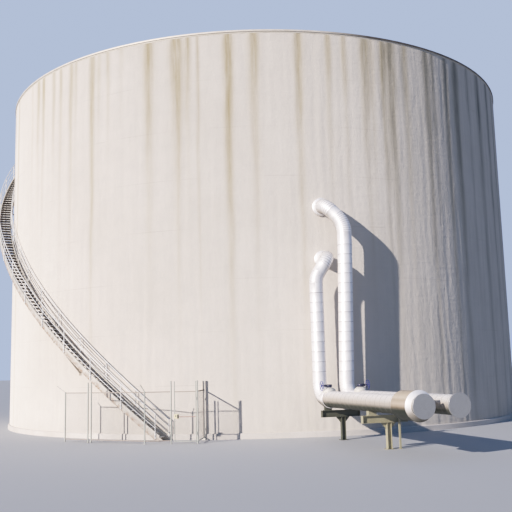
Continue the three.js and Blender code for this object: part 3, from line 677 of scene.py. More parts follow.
def build_wall():
    columns = WALL_COLUMNS
    angles = [-180 + 360 * i / columns for i in range(columns)]
    low, high = FLOOR_THICKNESS + GAP, WALL_TOP - RIM_HEIGHT - GAP
    middle = high - TOP_BAND
    heights = [low + (middle - low) * j / WALL_ROWS for j in range(WALL_ROWS)]
    heights += [middle + TOP_BAND * j / TOP_ROWS for j in range(TOP_ROWS + 1)]
    stain, grime_and_shade = streak_masks(angles, heights)
    depth = relief(angles, heights)
    verts = []
    for j, z in enumerate(heights):
        verts.extend(around(TANK_RADIUS + depth[j, i], deg, z) for i, deg in enumerate(angles))
    for z in (high, low):
        verts.extend(around(TANK_RADIUS - WALL_THICKNESS, deg, z) for deg in angles)
    rings = [range(columns * j, columns * (j + 1)) for j in range(len(heights) + 2)]
    shape = Shape()
    shape.add(verts, skin(rings, closed=True))
    segments = [f"wall_segment_{i}" for i in range(1, 7)]
    obj = piece("tank_wall", shape, ["wall"], "concrete", replaces=segments, smooth=60)
    for name, field in (("stain", stain), ("grime_and_shade", grime_and_shade)):
        values = np.zeros(len(verts), np.float32)
        values[: field.size] = field.ravel()
        obj.data.attributes.new(name, "FLOAT", "POINT").data.foreach_set("value", values)


build_wall()

slab = Shape()
slab.lathe(
    [(0, 0), (FLOOR_RADIUS, 0), (FLOOR_RADIUS, FLOOR_THICKNESS - 0.03),
     (FLOOR_RADIUS - 0.03, FLOOR_THICKNESS), (0, FLOOR_THICKNESS)],
    Vector(), UP, 360,
)
cover("floor_slab", slab, ["slab"], "concrete", smooth=20)

rim = Shape()
rim_in = TANK_RADIUS - WALL_THICKNESS
rim_out = TANK_RADIUS + RIM_OVERHANG - 0.002
rim_low = WALL_TOP - RIM_HEIGHT
lip_low = WALL_TOP - 0.085
rim.lathe(
    [(rim_in, rim_low), (TANK_RADIUS - 0.006, rim_low), (TANK_RADIUS - 0.002, rim_low + 0.01),
     (TANK_RADIUS - 0.002, WALL_TOP - 0.005), (rim_in, WALL_TOP - 0.005)],
    Vector(), UP, 360, 1,
)
rim.lathe(
    [(rim_in, WALL_TOP - 0.0049), (TANK_RADIUS - 0.0019, WALL_TOP - 0.0049),
     (TANK_RADIUS - 0.0019, lip_low + 0.012), (rim_out - 0.006, lip_low), (rim_out, lip_low + 0.003),
     (rim_out, WALL_TOP - 0.010), (rim_out - 0.010, WALL_TOP), (rim_in, WALL_TOP)],
    Vector(), UP, 360, 0,
)
cover("roof_rim", rim, ["rim", "rim_band"], "roofing", smooth=30)

dome_edge = TANK_RADIUS - WALL_THICKNESS - GAP
dome_radius = (dome_edge**2 + ROOF_RISE**2) / (2 * ROOF_RISE)
dome_line = []
for i in range(41):
    r = dome_edge * i / 40
    dome_line.append((r, WALL_TOP + ROOF_RISE - dome_radius + math.sqrt(dome_radius**2 - r * r)))
dome = Shape()
dome.lathe([(r, z - ROOF_THICKNESS) for r, z in dome_line] + dome_line[::-1], Vector(), UP, 180)
cover("roof_dome", dome, ["roof"], "roofing", smooth=30)


# Stair
def stair_line(deg):
    return STAIR_SLOPE * (STAIR_LINE_START - deg)


def tread_front(k):
    return STAIR_START - (k - 1) * STEP_ANGLE


def string_low(deg):
    return max(0.0, stair_line(deg))


def string_high(deg):
    return stair_line(deg) + STRINGER_DEPTH


LANDING_FRONT = tread_front(STEP_COUNT)
# Gap between two flights, in degrees round the wall
FLIGHT_GAP = 0.0011
# Degrees round the wall for a metre along the middle of the treads
DEG_PER_M = 1 / rad(1) / ((STAIR_INNER + STAIR_OUTER) / 2)


def add_stringer(shape, r_web, r_toe, to, start, spans):
    """Channel stringer: web with two flanges turned towards the treads."""
    web = STRINGER_THICKNESS * 0.5
    lo, hi = sorted((r_web, r_web + math.copysign(web, r_toe - r_web)))
    shape.polar(lo, hi, to, start, string_low, string_high, spans, edge=True)
    lo, hi = sorted((r_web, r_toe))
    shape.polar(lo, hi, to, start, lambda d: string_high(d) - web, string_high, spans)
    shape.polar(lo, hi, to, start, string_low, lambda d: string_low(d) + web, spans, edge=True)


def add_tread(shape, k, front):
    """Plate tread: pale nosing, raised strips on top, turned-down edges, and a dark underside and back edge
    that are painted shade.
    """
    back = front - STEP_DEPTH * DEG_PER_M
    top = k * STEP_RISE
    r0, r1 = STAIR_INNER + 0.012, STAIR_OUTER - 0.012
    plate = 0.006
    lip, nose = plate * DEG_PER_M, front - 0.040 * DEG_PER_M
    steel, nosing, under = 1, 3, 4
    # Material 4, the layer under the plate and the deep turned-down back edge, is painted shade
    for ra, rb, deg_a, deg_b, low, high, mat in (
        (r0, r1, front - lip, front, 0.040, 0, nosing),
        (r0, r1, nose, front - lip, plate, 0, nosing),
        (r0, r1, back, back + lip, 0.090, 0.002, under),
        (r0, r1, back + lip, nose, plate, 0.002, steel),
        (r0 + plate, r1 - plate, back + lip, front - lip, 0.009, 0.0062, under),
        (r0, r0 + plate, back, front, 0.040, 0.0061, steel),
        (r1 - plate, r1, back, front, 0.040, 0.0061, steel),
    ):
        shape.polar(ra, rb, deg_a, deg_b, top - low, top - high, 1, mat)
    for i in range(1, 12):
        r = r0 + (r1 - r0) * i / 12
        ends = back + 0.012 * DEG_PER_M, front - 0.05 * DEG_PER_M
        shape.polar(r - 0.004, r + 0.004, *ends, top - 0.002, top, 1, steel)


def wall_seat(r, deg, z):
    return around(TANK_RADIUS + 0.004 + r, deg, z)


def add_bracket(shape, deg, top, mat):
    """Angle arm, wall plate and diagonal brace with bolts."""
    radial = around(1, deg)
    tangent = UP.cross(radial)
    arm_a, arm_b = wall_seat(0.008, deg, top - 0.04), around(STAIR_OUTER, deg, top - 0.04)
    shape.box(arm_a, arm_b, 0.076, 0.008, UP, mat)
    for side in (1, -1):
        shift = tangent * (0.034 * side) + UP * 0.036
        shape.box(arm_a + shift, arm_b + shift, 0.008, 0.076, UP, mat)
    for z0, z1 in ((top - 0.16, top), (top - BRACKET_DROP - 0.08, top - BRACKET_DROP + 0.10)):
        shape.box(wall_seat(0.006, deg, z0), wall_seat(0.006, deg, z1), 0.14, 0.012, radial, mat)
        for dz in (0.03, z1 - z0 - 0.03):
            for s in (-0.048, 0.048):
                shape.bolt(wall_seat(0.012, deg, z0 + dz) + tangent * s, radial, 0.011, mat)
    a, b = wall_seat(0.03, deg, top - BRACKET_DROP + 0.02), around(STAIR_OUTER - 0.03, deg, top - 0.05)
    axis = (b - a).normalized()
    rise = axis.cross(tangent)
    shift = tangent * 0.027 + rise * 0.026
    shape.box(a, b, 0.060, 0.007, rise, mat)
    shape.box(a + shift, b + shift, 0.007, 0.056, rise, mat)


for flight in range(FLIGHT_COUNT):
    first = 1 + flight * FLIGHT_STEPS
    last = STEP_COUNT - 1 if flight == FLIGHT_COUNT - 1 else first + FLIGHT_STEPS - 1
    start = (tread_front(1) + 0.12 if flight == 0 else tread_front(first)) - FLIGHT_GAP
    to = tread_front(last + 1)
    spans = math.ceil((start - to) / 0.45)
    shape = Shape()
    inner_start = INNER_START if flight == 0 else start
    add_stringer(shape, STAIR_INNER, STAIR_INNER + 0.055, to, inner_start, spans)
    add_stringer(shape, STAIR_OUTER, STAIR_OUTER - 0.055, to, start, spans)
    for k in range(first, last + 1):
        add_tread(shape, k, tread_front(k) - FLIGHT_GAP)
    for j in range(BRACKET_COUNT):
        deg = BRACKET_START - BRACKET_SPACING * j
        if to + 0.4 < deg < start - 0.4:
            add_bracket(shape, deg, stair_line(deg) + 0.025, 2)
    finishes = ["stair", "tread", "bracket", "nosing", "tread_under"]
    cover(f"stair_flight_{flight + 1}", shape, finishes, "stair_paint")


def add_rail(shape, r, start, to, height, radius):
    count = max(2, math.ceil((start - to) / 0.5))
    points = []
    for i in range(count + 1):
        deg = start + (to - start) * i / count
        points.append(around(r, deg, stair_line(deg) + height - radius))
    shape.tube(points, radius, 12)


def railing(name, r0, r1, start, to, first_post):
    shape = Shape()
    middle = (r0 + r1) / 2
    for share, radius in ((1, RAIL_RADIUS), (0.73, RAIL_LOWER_RADIUS), (0.47, RAIL_LOWER_RADIUS)):
        add_rail(shape, middle, start, to, RAIL_TOP * share, radius)
    outwards = 1 if r0 > STAIR_OUTER else -1
    seat, face = (r0, r1 - 0.010) if outwards > 0 else (r1, r0 + 0.010)
    for i in range(15):
        deg = first_post - RAIL_POST_SPACING * i
        if not to + 0.1 < deg <= start:
            continue
        low = max(stair_line(deg) + 0.06, 0.02)
        head = around(middle, deg, stair_line(deg) + RAIL_TOP - 0.024)
        shape.tube([around(middle, deg, low), head], RAIL_POST_RADIUS, 14)
        for dz in (0.05, 0.20):
            z = low + dz
            shape.box(around(seat, deg, z), around(face, deg, z), 0.07, 0.05, UP)
            shape.bolt(around(face, deg, z), around(outwards, deg), 0.009)
    cover(name, shape, ["rail"], "railing")


for i in range(4):
    start = tread_front(1 + 24 * i) - FLIGHT_GAP
    to = LANDING_FRONT if i == 3 else tread_front(1 + 24 * (i + 1))
    outer_start = RAIL_POST_START + 0.1 if i == 0 else start
    inner_start = INNER_START + 0.1 if i == 0 else start
    outer_in, inner_in = STAIR_OUTER + GAP, STAIR_INNER - 0.0014 - RAIL_POST
    railing(f"outer_railing_{i + 1}", outer_in, outer_in + RAIL_POST, outer_start, to, RAIL_POST_START)
    railing(f"inner_railing_{i + 1}", inner_in, inner_in + RAIL_POST, inner_start, to, INNER_START)


def build_landing():
    start, to = LANDING_FRONT - FLIGHT_GAP, LANDING_FRONT - LANDING_LENGTH
    shape = Shape()
    top, low = WALL_TOP, WALL_TOP - LANDING_THICKNESS
    inner = TANK_RADIUS + 0.05
    spans = 14
    for r in (inner, STAIR_OUTER - 0.01):
        shape.polar(r, r + 0.01, to, start, low, top, spans)
    for deg in (to, start - 0.04):
        shape.polar(inner, STAIR_OUTER, deg, deg + 0.04, low, top)
    for i in range(1, 22):
        r = inner + (STAIR_OUTER - inner) * i / 22
        shape.polar(r - 0.0025, r + 0.0025, to, start, top - 0.035, top - 0.002, spans, 1)
    for i in range(1, 18):
        deg = to + (start - to) * i / 18
        shape.polar(inner, STAIR_OUTER, deg - 0.02, deg + 0.02, top - 0.014, top - 0.004, 1, 1)
    for deg in (start - 1.4, to + 0.8):
        add_bracket(shape, deg, low + 0.02, 2)
    edge = STAIR_OUTER - RAIL_POST / 2
    far = to + 0.1
    lower = RAIL_LOWER_RADIUS
    for height, radius in ((LANDING_RAIL, RAIL_RADIUS), (0.735, lower), (0.37, lower)):
        z = top + height - radius
        points = [around(edge, start + (far - start) * i / 10, z) for i in range(11)]
        points.append(around(TANK_RADIUS + 0.1, far, z))
        shape.tube(points, radius, 12, 3)
    for r, deg in ((edge, start - 0.1), (edge, (start + to) / 2), (edge, far), (TANK_RADIUS + 0.1, far)):
        ends = [around(r, deg, top - 0.02), around(r, deg, top + LANDING_RAIL - 0.024)]
        shape.tube(ends, RAIL_POST_RADIUS, 14, 3)
    cover("top_landing", shape, ["stair", "tread", "bracket", "rail"], "stair_paint")


build_landing()

# Pipes
heading = Vector((math.sin(rad(RUN_HEADING)), -math.cos(rad(RUN_HEADING)), 0))
across = Vector((math.cos(rad(RUN_HEADING)), math.sin(rad(RUN_HEADING)), 0))
pipe_r = TANK_RADIUS + PIPE_OFFSET
tall_foot = around(pipe_r, TALL_ANGLE)
tall_top = around(pipe_r, TALL_TOP_ANGLE)
short_foot = around(pipe_r, SHORT_ANGLE)
TALL_JOINT = 8.40
SHORT_JOINT = 5.95
FOOT_JOINT = RUN_HEIGHT + FOOT_RADIUS + 0.04
TALL_SHEET = TALL_RADIUS - SHEET
SHORT_SHEET = SHORT_RADIUS - SHEET


def gored(points, radii, gores):
    """Points along a route whose corners are made of straight gores; the joints are listed too."""
    path = [points[0]]
    joints = []
    for i in range(1, len(points) - 1):
        inward = (points[i] - points[i - 1]).normalized()
        onward = (points[i + 1] - points[i]).normalized()
        turn = inward.angle(onward)
        cut = radii[i - 1] * math.tan(turn / 2)
        start = points[i] - inward * cut
        normal = (onward - inward * onward.dot(inward)).normalized()
        centre = start + normal * radii[i - 1]
        steps = gores[i - 1]
        for j in range(steps + 1):
            a = turn * j / steps
            spot = centre - normal * (radii[i - 1] * math.cos(a)) + inward * (radii[i - 1] * math.sin(a))
            joints.append(len(path))
            path.append(spot)
    path.append(points[-1])
    return path, joints


def clad(shape, path, joints, radius, sides=48, width=0.022, spacing=0.0, lip=0.004, rib=1):
    """Sheet cladding: a bead at each gore joint, and a lapped seam at each spacing whose edge has a painted
    shadow of the lap.
    """
    top = 0.004
    bead = ((-width / 2, 0), (-width / 4, top), (width / 4, top), (width / 2, 0))
    seam = ((-0.026, 0), (-0.024, lip), (0.010, lip), (0.012, 0.0005), (0.024, 0.0005), (0.026, 0))
    legs = [b - a for a, b in zip(path, path[1:])]
    rings, sizes, dark = [], [], []

    def lay(p, before, after, offsets):
        for off, more in offsets:
            rings.append(p + (before if off < 0 else after) * off)
            sizes.append(radius + more)

    for i, p in enumerate(path):
        before, leg = legs[max(i - 1, 0)], legs[min(i, len(legs) - 1)]
        onward = leg.normalized()
        if i in joints:
            dark.append((len(rings) + 2, rib))
            lay(p, before.normalized(), onward, bead)
        else:
            lay(p, onward, onward, ((0, 0),))
        if not spacing or i == len(legs) or leg.length <= spacing * 1.4:
            continue
        for j in range(1, math.ceil((leg.length - 0.05) / spacing)):
            # The lap's edge ring takes the seam material, a painted shadow of the lap
            dark.append((len(rings) + 3, 1))
            lay(p + onward * spacing * j, onward, onward, seam)
    start = len(shape.mats)
    shape.tube(rings, sizes, sides)
    for ring, mat in dark:
        for k in range(sides):
            shape.mats[start + ring * sides + k] = mat


def build_nozzle(name, deg, z, turn_r, top, low_z, joint_z, radius, bends):
    shape = Shape()
    seat = TANK_RADIUS + 0.001
    outward = around(1, deg)
    points = [around(seat, deg, z), around(turn_r, deg, z), at(top, low_z), at(top, joint_z + GAP)]
    path, joints = gored(points, bends, [9, 10])
    clad(shape, path, joints, radius, width=0.018, spacing=SEAM_SPACING, rib=3)
    shape.lathe(
        [(radius, 0), (radius + 0.105, 0), (radius + 0.105, 0.045), (radius + 0.045, 0.10), (radius, 0.11)],
        around(seat, deg, z), outward, 48,
    )
    centre = around(seat + 0.05, deg, z)
    shape.bolt_circle(centre, UP.cross(outward), UP, radius + 0.085, 12, outward, 0.012, 2)
    cover(name, shape, ["bright", "seam", "band", "rib"], "cladding")


build_nozzle("upper_wall_pipe", 11.18, 10.145, 15.55, tall_top, 9.25, TALL_JOINT, TALL_SHEET, [0.6, 1.1])
build_nozzle("lower_wall_pipe", 11.12, 7.76, pipe_r, short_foot, 6.83, SHORT_JOINT, SHORT_SHEET, [0.45, 0.8])


def riser(name, foot, top, joint, radius):
    """Upright pipe; one whose top stands to one side of its foot leans, with its seams kept level."""
    shape = Shape()
    clad(shape, [at(foot, FOOT_JOINT), at(foot, joint)], [], radius, spacing=SEAM_SPACING)
    lean = (top - foot) / (joint - FOOT_JOINT)
    for i, (x, y, z) in enumerate(shape.verts):
        shape.verts[i] = (x + lean.x * (z - FOOT_JOINT), y + lean.y * (z - FOOT_JOINT), z)
    cover(name, shape, ["bright", "seam"], "cladding")


riser("tall_riser", tall_foot, tall_top, TALL_JOINT, TALL_SHEET)
riser("short_riser", short_foot, short_foot, SHORT_JOINT, SHORT_SHEET)


def foot_bend(name, foot, radius, joint):
    corner = at(foot, RUN_HEIGHT)
    points = [at(foot, FOOT_JOINT - GAP), corner, corner + heading * (joint - GAP)]
    path, joints = gored(points, [FOOT_RADIUS], [9])
    shape = Shape()
    clad(shape, path, joints, radius, rib=2)
    cover(name, shape, ["bend", "seam", "rib"], "cladding")


foot_bend("tall_foot_bend", tall_foot, TALL_SHEET, REAR_JOINT)
foot_bend("short_foot_bend", short_foot, SHORT_SHEET, FRONT_JOINT)


def build_run(name, foot, joint):
    shape = Shape()
    start = at(foot, RUN_HEIGHT) + heading * joint
    end = start + heading * (RUN_LENGTH - joint - FLANGE)
    clad(shape, [start, end], [], RUN_RADIUS - SHEET, 64, spacing=RUN_SEAM_SPACING, lip=0.003)
    outer = RUN_RADIUS + 0.065
    shape.lathe(
        [(0, 0), (outer - 0.003, 0), (outer, 0.004), (outer, 0.026), (outer - 0.005, 0.029),
         (outer - 0.005, 0.031), (outer, 0.034), (outer, 0.056), (outer - 0.003, FLANGE), (0, FLANGE)],
        end, heading, 64, 2,
    )
    shape.bolt_circle(end, across, UP, RUN_RADIUS + 0.032, 16, -heading, 0.014, 2, shift=0.5)
    cover(name, shape, ["cladding", "seam", "band"], "cladding")


build_run("front_run", short_foot, FRONT_JOINT)
build_run("rear_run", tall_foot, REAR_JOINT)


def build_drum():
    """Cover over a joint in the front run: cone, smooth barrel and a bright rolled ring at the near end."""
    shape = Shape()
    start = at(short_foot, RUN_HEIGHT) + heading * DRUM_FROM
    length = DRUM_TO - DRUM_FROM
    inner = RUN_RADIUS + GAP
    ring = DRUM_RADIUS + 0.014
    barrel_end = length - 0.120
    shape.lathe(
        [(inner, 0), (inner + 0.055, 0), (inner + 0.062, 0.006), (DRUM_RADIUS - 0.004, 0.114),
         (DRUM_RADIUS, 0.124), (DRUM_RADIUS, barrel_end), (inner, barrel_end)],
        start, heading, 96,
    )
    shape.lathe(
        [(inner, barrel_end), (ring, barrel_end), (ring + 0.006, barrel_end + 0.006),
         (ring + 0.006, length - 0.073), (ring, length - 0.065), (inner + 0.020, length - 0.006),
         (inner + 0.012, length), (inner, length)],
        start, heading, 96, 1,
    )
    cover("drum_cover", shape, ["drum", "bend"], "drum_paint")


build_drum()


# Valves and hand wheels
DOME = [
    (0.268, -0.004), (0.262, 0.02), (0.250, 0.048), (0.228, 0.072), (0.200, 0.093), (0.170, 0.113),
    (0.140, 0.128), (0.120, 0.137),
]
STEM_HEIGHT = 0.21


def add_dome(shape, seat, run_seat, bend_seat, segments=48):
    """Round cover whose lower edge follows the pipe on either side of the joint."""
    verts = []
    for k in range(segments):
        spot = turned(across, heading, k, segments) * DOME[0][0]
        bed = run_seat if spot.dot(heading) > -GAP else bend_seat
        drop = math.sqrt(max(bed**2 - spot.dot(across) ** 2, 0)) - run_seat
        verts.append(seat + spot + UP * (drop + 0.001))
    for r, h in DOME:
        verts.extend(seat + turned(across, heading, k, segments) * r + UP * h for k in range(segments))
    rings = [range(segments * j, segments * (j + 1)) for j in range(len(DOME) + 1)]
    rings.append([len(verts)])
    verts.append(seat + UP * DOME[-1][1])
    shape.add(verts, skin(rings) + [tuple(reversed(rings[0]))])


def build_valve(name, foot, bend_radius, joint, side):
    """Sleeve over the pipe joint, trimmed dome, gearbox with cover bolts, and stem."""
    base = at(foot, RUN_HEIGHT) + heading * joint
    run_seat, bend_seat = RUN_RADIUS + GAP, bend_radius + 0.0022
    seat = base + UP * run_seat
    stem = across * side
    centre = seat + UP * STEM_HEIGHT
    shape = Shape()
    outer = SLEEVE_RADIUS - 0.002
    shape.lathe(
        [(bend_seat, -0.1), (outer - 0.008, -0.1), (outer, -0.092), (outer, -0.03), (outer - 0.008, -0.026),
         (outer - 0.008, 0.026), (outer, 0.03), (outer, 0.092), (outer - 0.008, 0.1), (run_seat, 0.1),
         (run_seat, -GAP), (bend_seat, -GAP)],
        base, heading, 64, 3,
    )
    add_dome(shape, seat, run_seat, bend_seat)
    shape.bolt_circle(seat + UP * 0.088, across, heading, 0.205, 10, UP, 0.012, 1)
    shape.lathe(
        [(0, 0.136), (0.105, 0.136), (0.112, 0.142), (0.112, 0.158), (0.128, 0.164), (0.130, 0.170),
         (0.130, 0.238), (0.122, 0.250), (0.060, 0.262), (0, 0.2645)],
        seat, UP, 40, 2,
    )
    shape.bolt_circle(seat + UP * 0.252, across, heading, 0.105, 8, UP, 0.009, 1, shift=0.5)
    shape.box(centre + stem * 0.06, centre + stem * 0.186, 0.086, 0.086, UP, 2)
    collar = [(0, 0), (0.042, 0), (0.044, 0.003), (0.040, 0.014), (0, 0.014)]
    shape.lathe(collar, centre + stem * 0.186, stem, 24, 2)
    shape.tube([centre + stem * 0.19, centre + stem * 0.30], 0.019, 16, 1)
    cover(name, shape, ["valve", "dark", "gearbox", "bend"], "valve_metal", bevel=0.003)


def build_wheel(name, foot, joint, side, body):
    """Hand wheel: hub, four spokes that bow outwards, and a round rim."""
    axis = across * side
    hub = at(foot, RUN_HEIGHT) + heading * joint + UP * (RUN_RADIUS + GAP + STEM_HEIGHT) + axis * 0.3005
    v = axis.cross(UP)
    plane = hub + axis * 0.022
    shape = Shape()
    rim = [plane + turned(UP, v, i, 48) * (WHEEL_RADIUS - 0.0115) for i in range(48)]
    shape.tube(rim, 0.011, 12, closed=True)
    boss = [(0, 0), (0.030, 0), (0.034, 0.006), (0.034, 0.036), (0.028, 0.044), (0, 0.044)]
    shape.lathe(boss, hub, axis, 24)
    for i in range(4):
        spoke = turned(UP, v, i + 0.5, 4)
        tip = plane + spoke * (WHEEL_RADIUS - 0.012)
        inner = hub + axis * 0.030 + spoke * 0.028
        shape.tube([inner, (tip + inner) / 2 + axis * 0.003, tip], [0.010, 0.008, 0.0085], 10)
    shape.bolt(hub + axis * 0.036, axis, 0.008, 1)
    cover(name, shape, ["wheel", "dark"], "wheel_paint", body=body)


build_valve("front_valve", short_foot, SHORT_RADIUS, FRONT_JOINT, -1)
build_wheel("front_handwheel", short_foot, FRONT_JOINT, -1, "front_wheel")
build_valve("rear_valve", tall_foot, TALL_RADIUS, REAR_JOINT, 1)
build_wheel("rear_handwheel", tall_foot, REAR_JOINT, 1, "rear_wheel")

# Pipe supports keep their CAD solids and get base plates, end plates, pads and bolts
BEAM_TOP = RUN_HEIGHT - RUN_RADIUS - 0.13
BEAM_DEPTH = 0.27
BEAM_LOW = BEAM_TOP - BEAM_DEPTH
POST_AT = 0.65
BEAM_RIGHT = 1.40
THIN_POST_AT = 1.03
run_gap = (tall_foot - short_foot).dot(across)


def support_details(number, along_run, left, finish, thin_post):
    """Keeps the CAD solid of a pipe support, paints it, and adds base plate, end plates, pads and bolts."""
    base = short_foot + heading * along_run
    shape = Shape()

    def spot(s, z, t=0.0):
        return at(base + across * s + heading * t, z)

    shape.box(spot(POST_AT - 0.15, 0.009), spot(POST_AT + 0.15, 0.009), 0.28, 0.018)
    for s, t in itertools.product((-0.12, 0.12), (-0.11, 0.11)):
        shape.bolt(spot(POST_AT + s, 0.018, t), UP, 0.014, 1)
    for pipe, side, t in itertools.product((0.0, run_gap), (-1, 1), (-0.07, 0.07)):
        s = pipe + side * 0.168
        shape.box(spot(s, BEAM_TOP + 0.005, t - 0.022), spot(s, BEAM_TOP + 0.005, t + 0.022), 0.036, 0.010)
        shape.bolt(spot(pipe + side * 0.170, BEAM_TOP + 0.010, t), UP, 0.012, 1)
    for s in (left + 0.012, BEAM_RIGHT - 0.012):
        shape.box(spot(s, BEAM_LOW + 0.014), spot(s, BEAM_TOP - 0.014), 0.19, 0.010, across)
    for s, t in itertools.product((-0.130, 0.130), (-0.06, 0.06)):
        shape.bolt(spot(POST_AT + s, BEAM_LOW + 0.014, t), UP, 0.010, 1)
    if thin_post:
        ends = [spot(THIN_POST_AT + s, 0.006, 0.125) for s in (-0.06, 0.06)]
        shape.box(*ends, 0.12, 0.012)
        for z in (BEAM_TOP - 0.04, BEAM_LOW + 0.05):
            shape.bolt(spot(THIN_POST_AT, z, 0.156), heading, 0.010, 1)
    name = f"run_support_{number}"
    piece(name + "_fixings", shape, [finish, "band"], "support_paint", bevel=0.002)
    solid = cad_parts[name].data
    solid.materials.clear()
    solid.materials.append(MAT[finish])


# Support 1 gets the dark finish: painted shade over the whole support
support_details(1, SUPPORT_AT[0], -0.28, "support_shade", thin_post=False)
support_details(2, SUPPORT_AT[1], -0.39, "support", thin_post=True)

# Fence and gate
post_1 = around(16.7, -31.4)
post_2 = around(16.7, -26.9)
post_2b = around(16.7, -26.3)
post_b = Vector((-4.875, -16.37, 0))
gate_left = Vector((-3.765, -16.43, 0))
gate_right = Vector((-2.655, -16.565, 0))
wall_end = around(FLOOR_RADIUS + 0.044, WALL_POST_ANGLE)
RAILS = (GATE_HEIGHT - 0.02, 0.14)


def add_post(shape, p, height):
    radius = POST_SIZE / 2 - 0.0005
    shape.tube([at(p, 0), at(p, height - 0.012), at(p, height)], [radius, radius, 0.016], 20)


def add_mesh(shape, a, b, low, high, pitch=0.055, wire=0.0016, mat=1):
    """Diamond wire infill between two points, as crossing slanted wires."""
    line = b - a
    width = line.length
    along = line.normalized()
    normal = along.cross(UP)
    height = high - low
    for sign in (1, -1):
        c = -height + pitch
        while c < width:
            u0, u1 = max(0.0, c), min(width, c + height)
            if u1 - u0 > 0.02:
                z0, z1 = u0 - c, u1 - c
                if sign < 0:
                    z0, z1 = height - z0, height - z1
                p0 = a + along * u0 + UP * (low + z0) + normal * (sign * wire)
                p1 = a + along * u1 + UP * (low + z1) + normal * (sign * wire)
                shape.tube([p0, p1], wire, 4, mat, caps=False)
            c += pitch * 1.414


def fence_panel(name, a, b, posts, insets, arm=None, link=None):
    along = (b - a).normalized()
    shape = Shape()
    for p, height in posts:
        add_post(shape, p, height)
    start, end = a + along * insets[0], b - along * insets[1]
    for z in RAILS:
        shape.tube([at(start, z), at(end, z)], 0.0175, 14, 2)
    add_mesh(shape, start, end, RAILS[1], RAILS[0])
    for p in (a, b):
        for z in (RAILS[0], 1.62, 1.1, 0.58, 0.16):
            if any((p - q).length < 0.001 for q, _ in posts):
                shape.lathe(
                    [(0.0285, -0.02), (0.033, -0.02), (0.033, 0.02), (0.0285, 0.02)], at(p, z), UP, 20,
                )
    if arm is not None:
        shape.box(at(a, GATE_HEIGHT), arm, 0.036, 0.012)
        for t in (0.35, 0.65, 0.95):
            spot = at(a, GATE_HEIGHT).lerp(arm, t)
            shape.tube([spot - along * 0.02, spot + along * 0.02], 0.006, 8)
    if link is not None:
        gap = (link - a).length - POST_SIZE / 2 - 0.002
        for z in (GATE_HEIGHT - 0.02, 0.28):
            shape.box(at(a, z), at(a, z) - along * gap, 0.03, 0.03)
    cover(name, shape, ["fence", "mesh", "top_rail"], "fence_metal")


fence_panel(
    "fence_panel_1", post_1, post_2, [(post_1, GATE_HEIGHT + 0.02), (post_2, POST_HEIGHT)], (0.02, 0.02),
    arm=around(16.98, -32.2, POST_HEIGHT - 0.13),
)
fence_panel("fence_panel_2", post_2b, post_b, [(post_2b, POST_HEIGHT)], (0.02, 0.0405), link=post_2)
fence_panel(
    "fence_panel_3", post_b, gate_left, [(post_b, GATE_HEIGHT + 0.02), (gate_left, POST_HEIGHT)],
    (0.02, 0.02), arm=Vector((-5.015, -16.575, POST_HEIGHT - 0.13)),
)

leaf_line = (gate_left - gate_right).normalized()
outward = Vector((-leaf_line.y, leaf_line.x, 0))
hinge = gate_right + leaf_line * 0.039 + outward * 0.050
HINGE_HEIGHTS = (0.38, 1.78)


def build_gate():
    shape = Shape()
    a = gate_right + leaf_line * (POST_SIZE / 2 + 0.018 + 0.02)
    b = gate_left - leaf_line * 0.144
    for p in (a, b):
        heights = (0.08, POST_HEIGHT - 0.028, POST_HEIGHT - 0.02)
        shape.tube([at(p, z) for z in heights], [0.0195, 0.0195, 0.012], 16)
    for z, mat in ((GATE_HEIGHT - 0.025, 4), (1.10, 5), (0.105, 0)):
        shape.tube([at(a, z), at(b, z)], 0.0175, 14, mat)
    add_mesh(shape, a, b, 0.105, GATE_HEIGHT - 0.025)
    for back, face, low, high, width, depth, mat in (
        (0.080, 0, 1.022, 1.208, 0.044, 0.196, 3),
        (0.055, 0.024, 1.045, 1.185, 0.008, 0.120, 3),
        (0.148, 0.021, 1.035, 1.195, 0.014, 0.056, 6),
    ):
        p = b - leaf_line * back + outward * face
        shape.box(at(p, low), at(p, high), width, depth, leaf_line, mat)
    button = [(0, 0), (0.026, 0), (0.026, 0.004), (0.020, 0.0065), (0, 0.0065)]
    shape.lathe(button, at(b - leaf_line * 0.055 + outward * 0.0235, 1.135), outward, 24, 6)
    inner = gate_right + leaf_line * 0.058 + outward * 0.010
    knuckle = [(0, 0.0605), (0.0118, 0.0605), (0.0118, 0.118), (0.008, 0.12), (0, 0.12)]
    for z in HINGE_HEIGHTS:
        shape.lathe(knuckle, at(hinge, z), UP, 16)
        shape.box(at(hinge, z + 0.09), at(inner, z + 0.09), 0.020, 0.028)
    finishes = ["fence", "mesh", "fence", "lock", "top_rail", "bar", "dark"]
    cover("gate_leaf", shape, finishes, "fence_metal", body="gate")


build_gate()


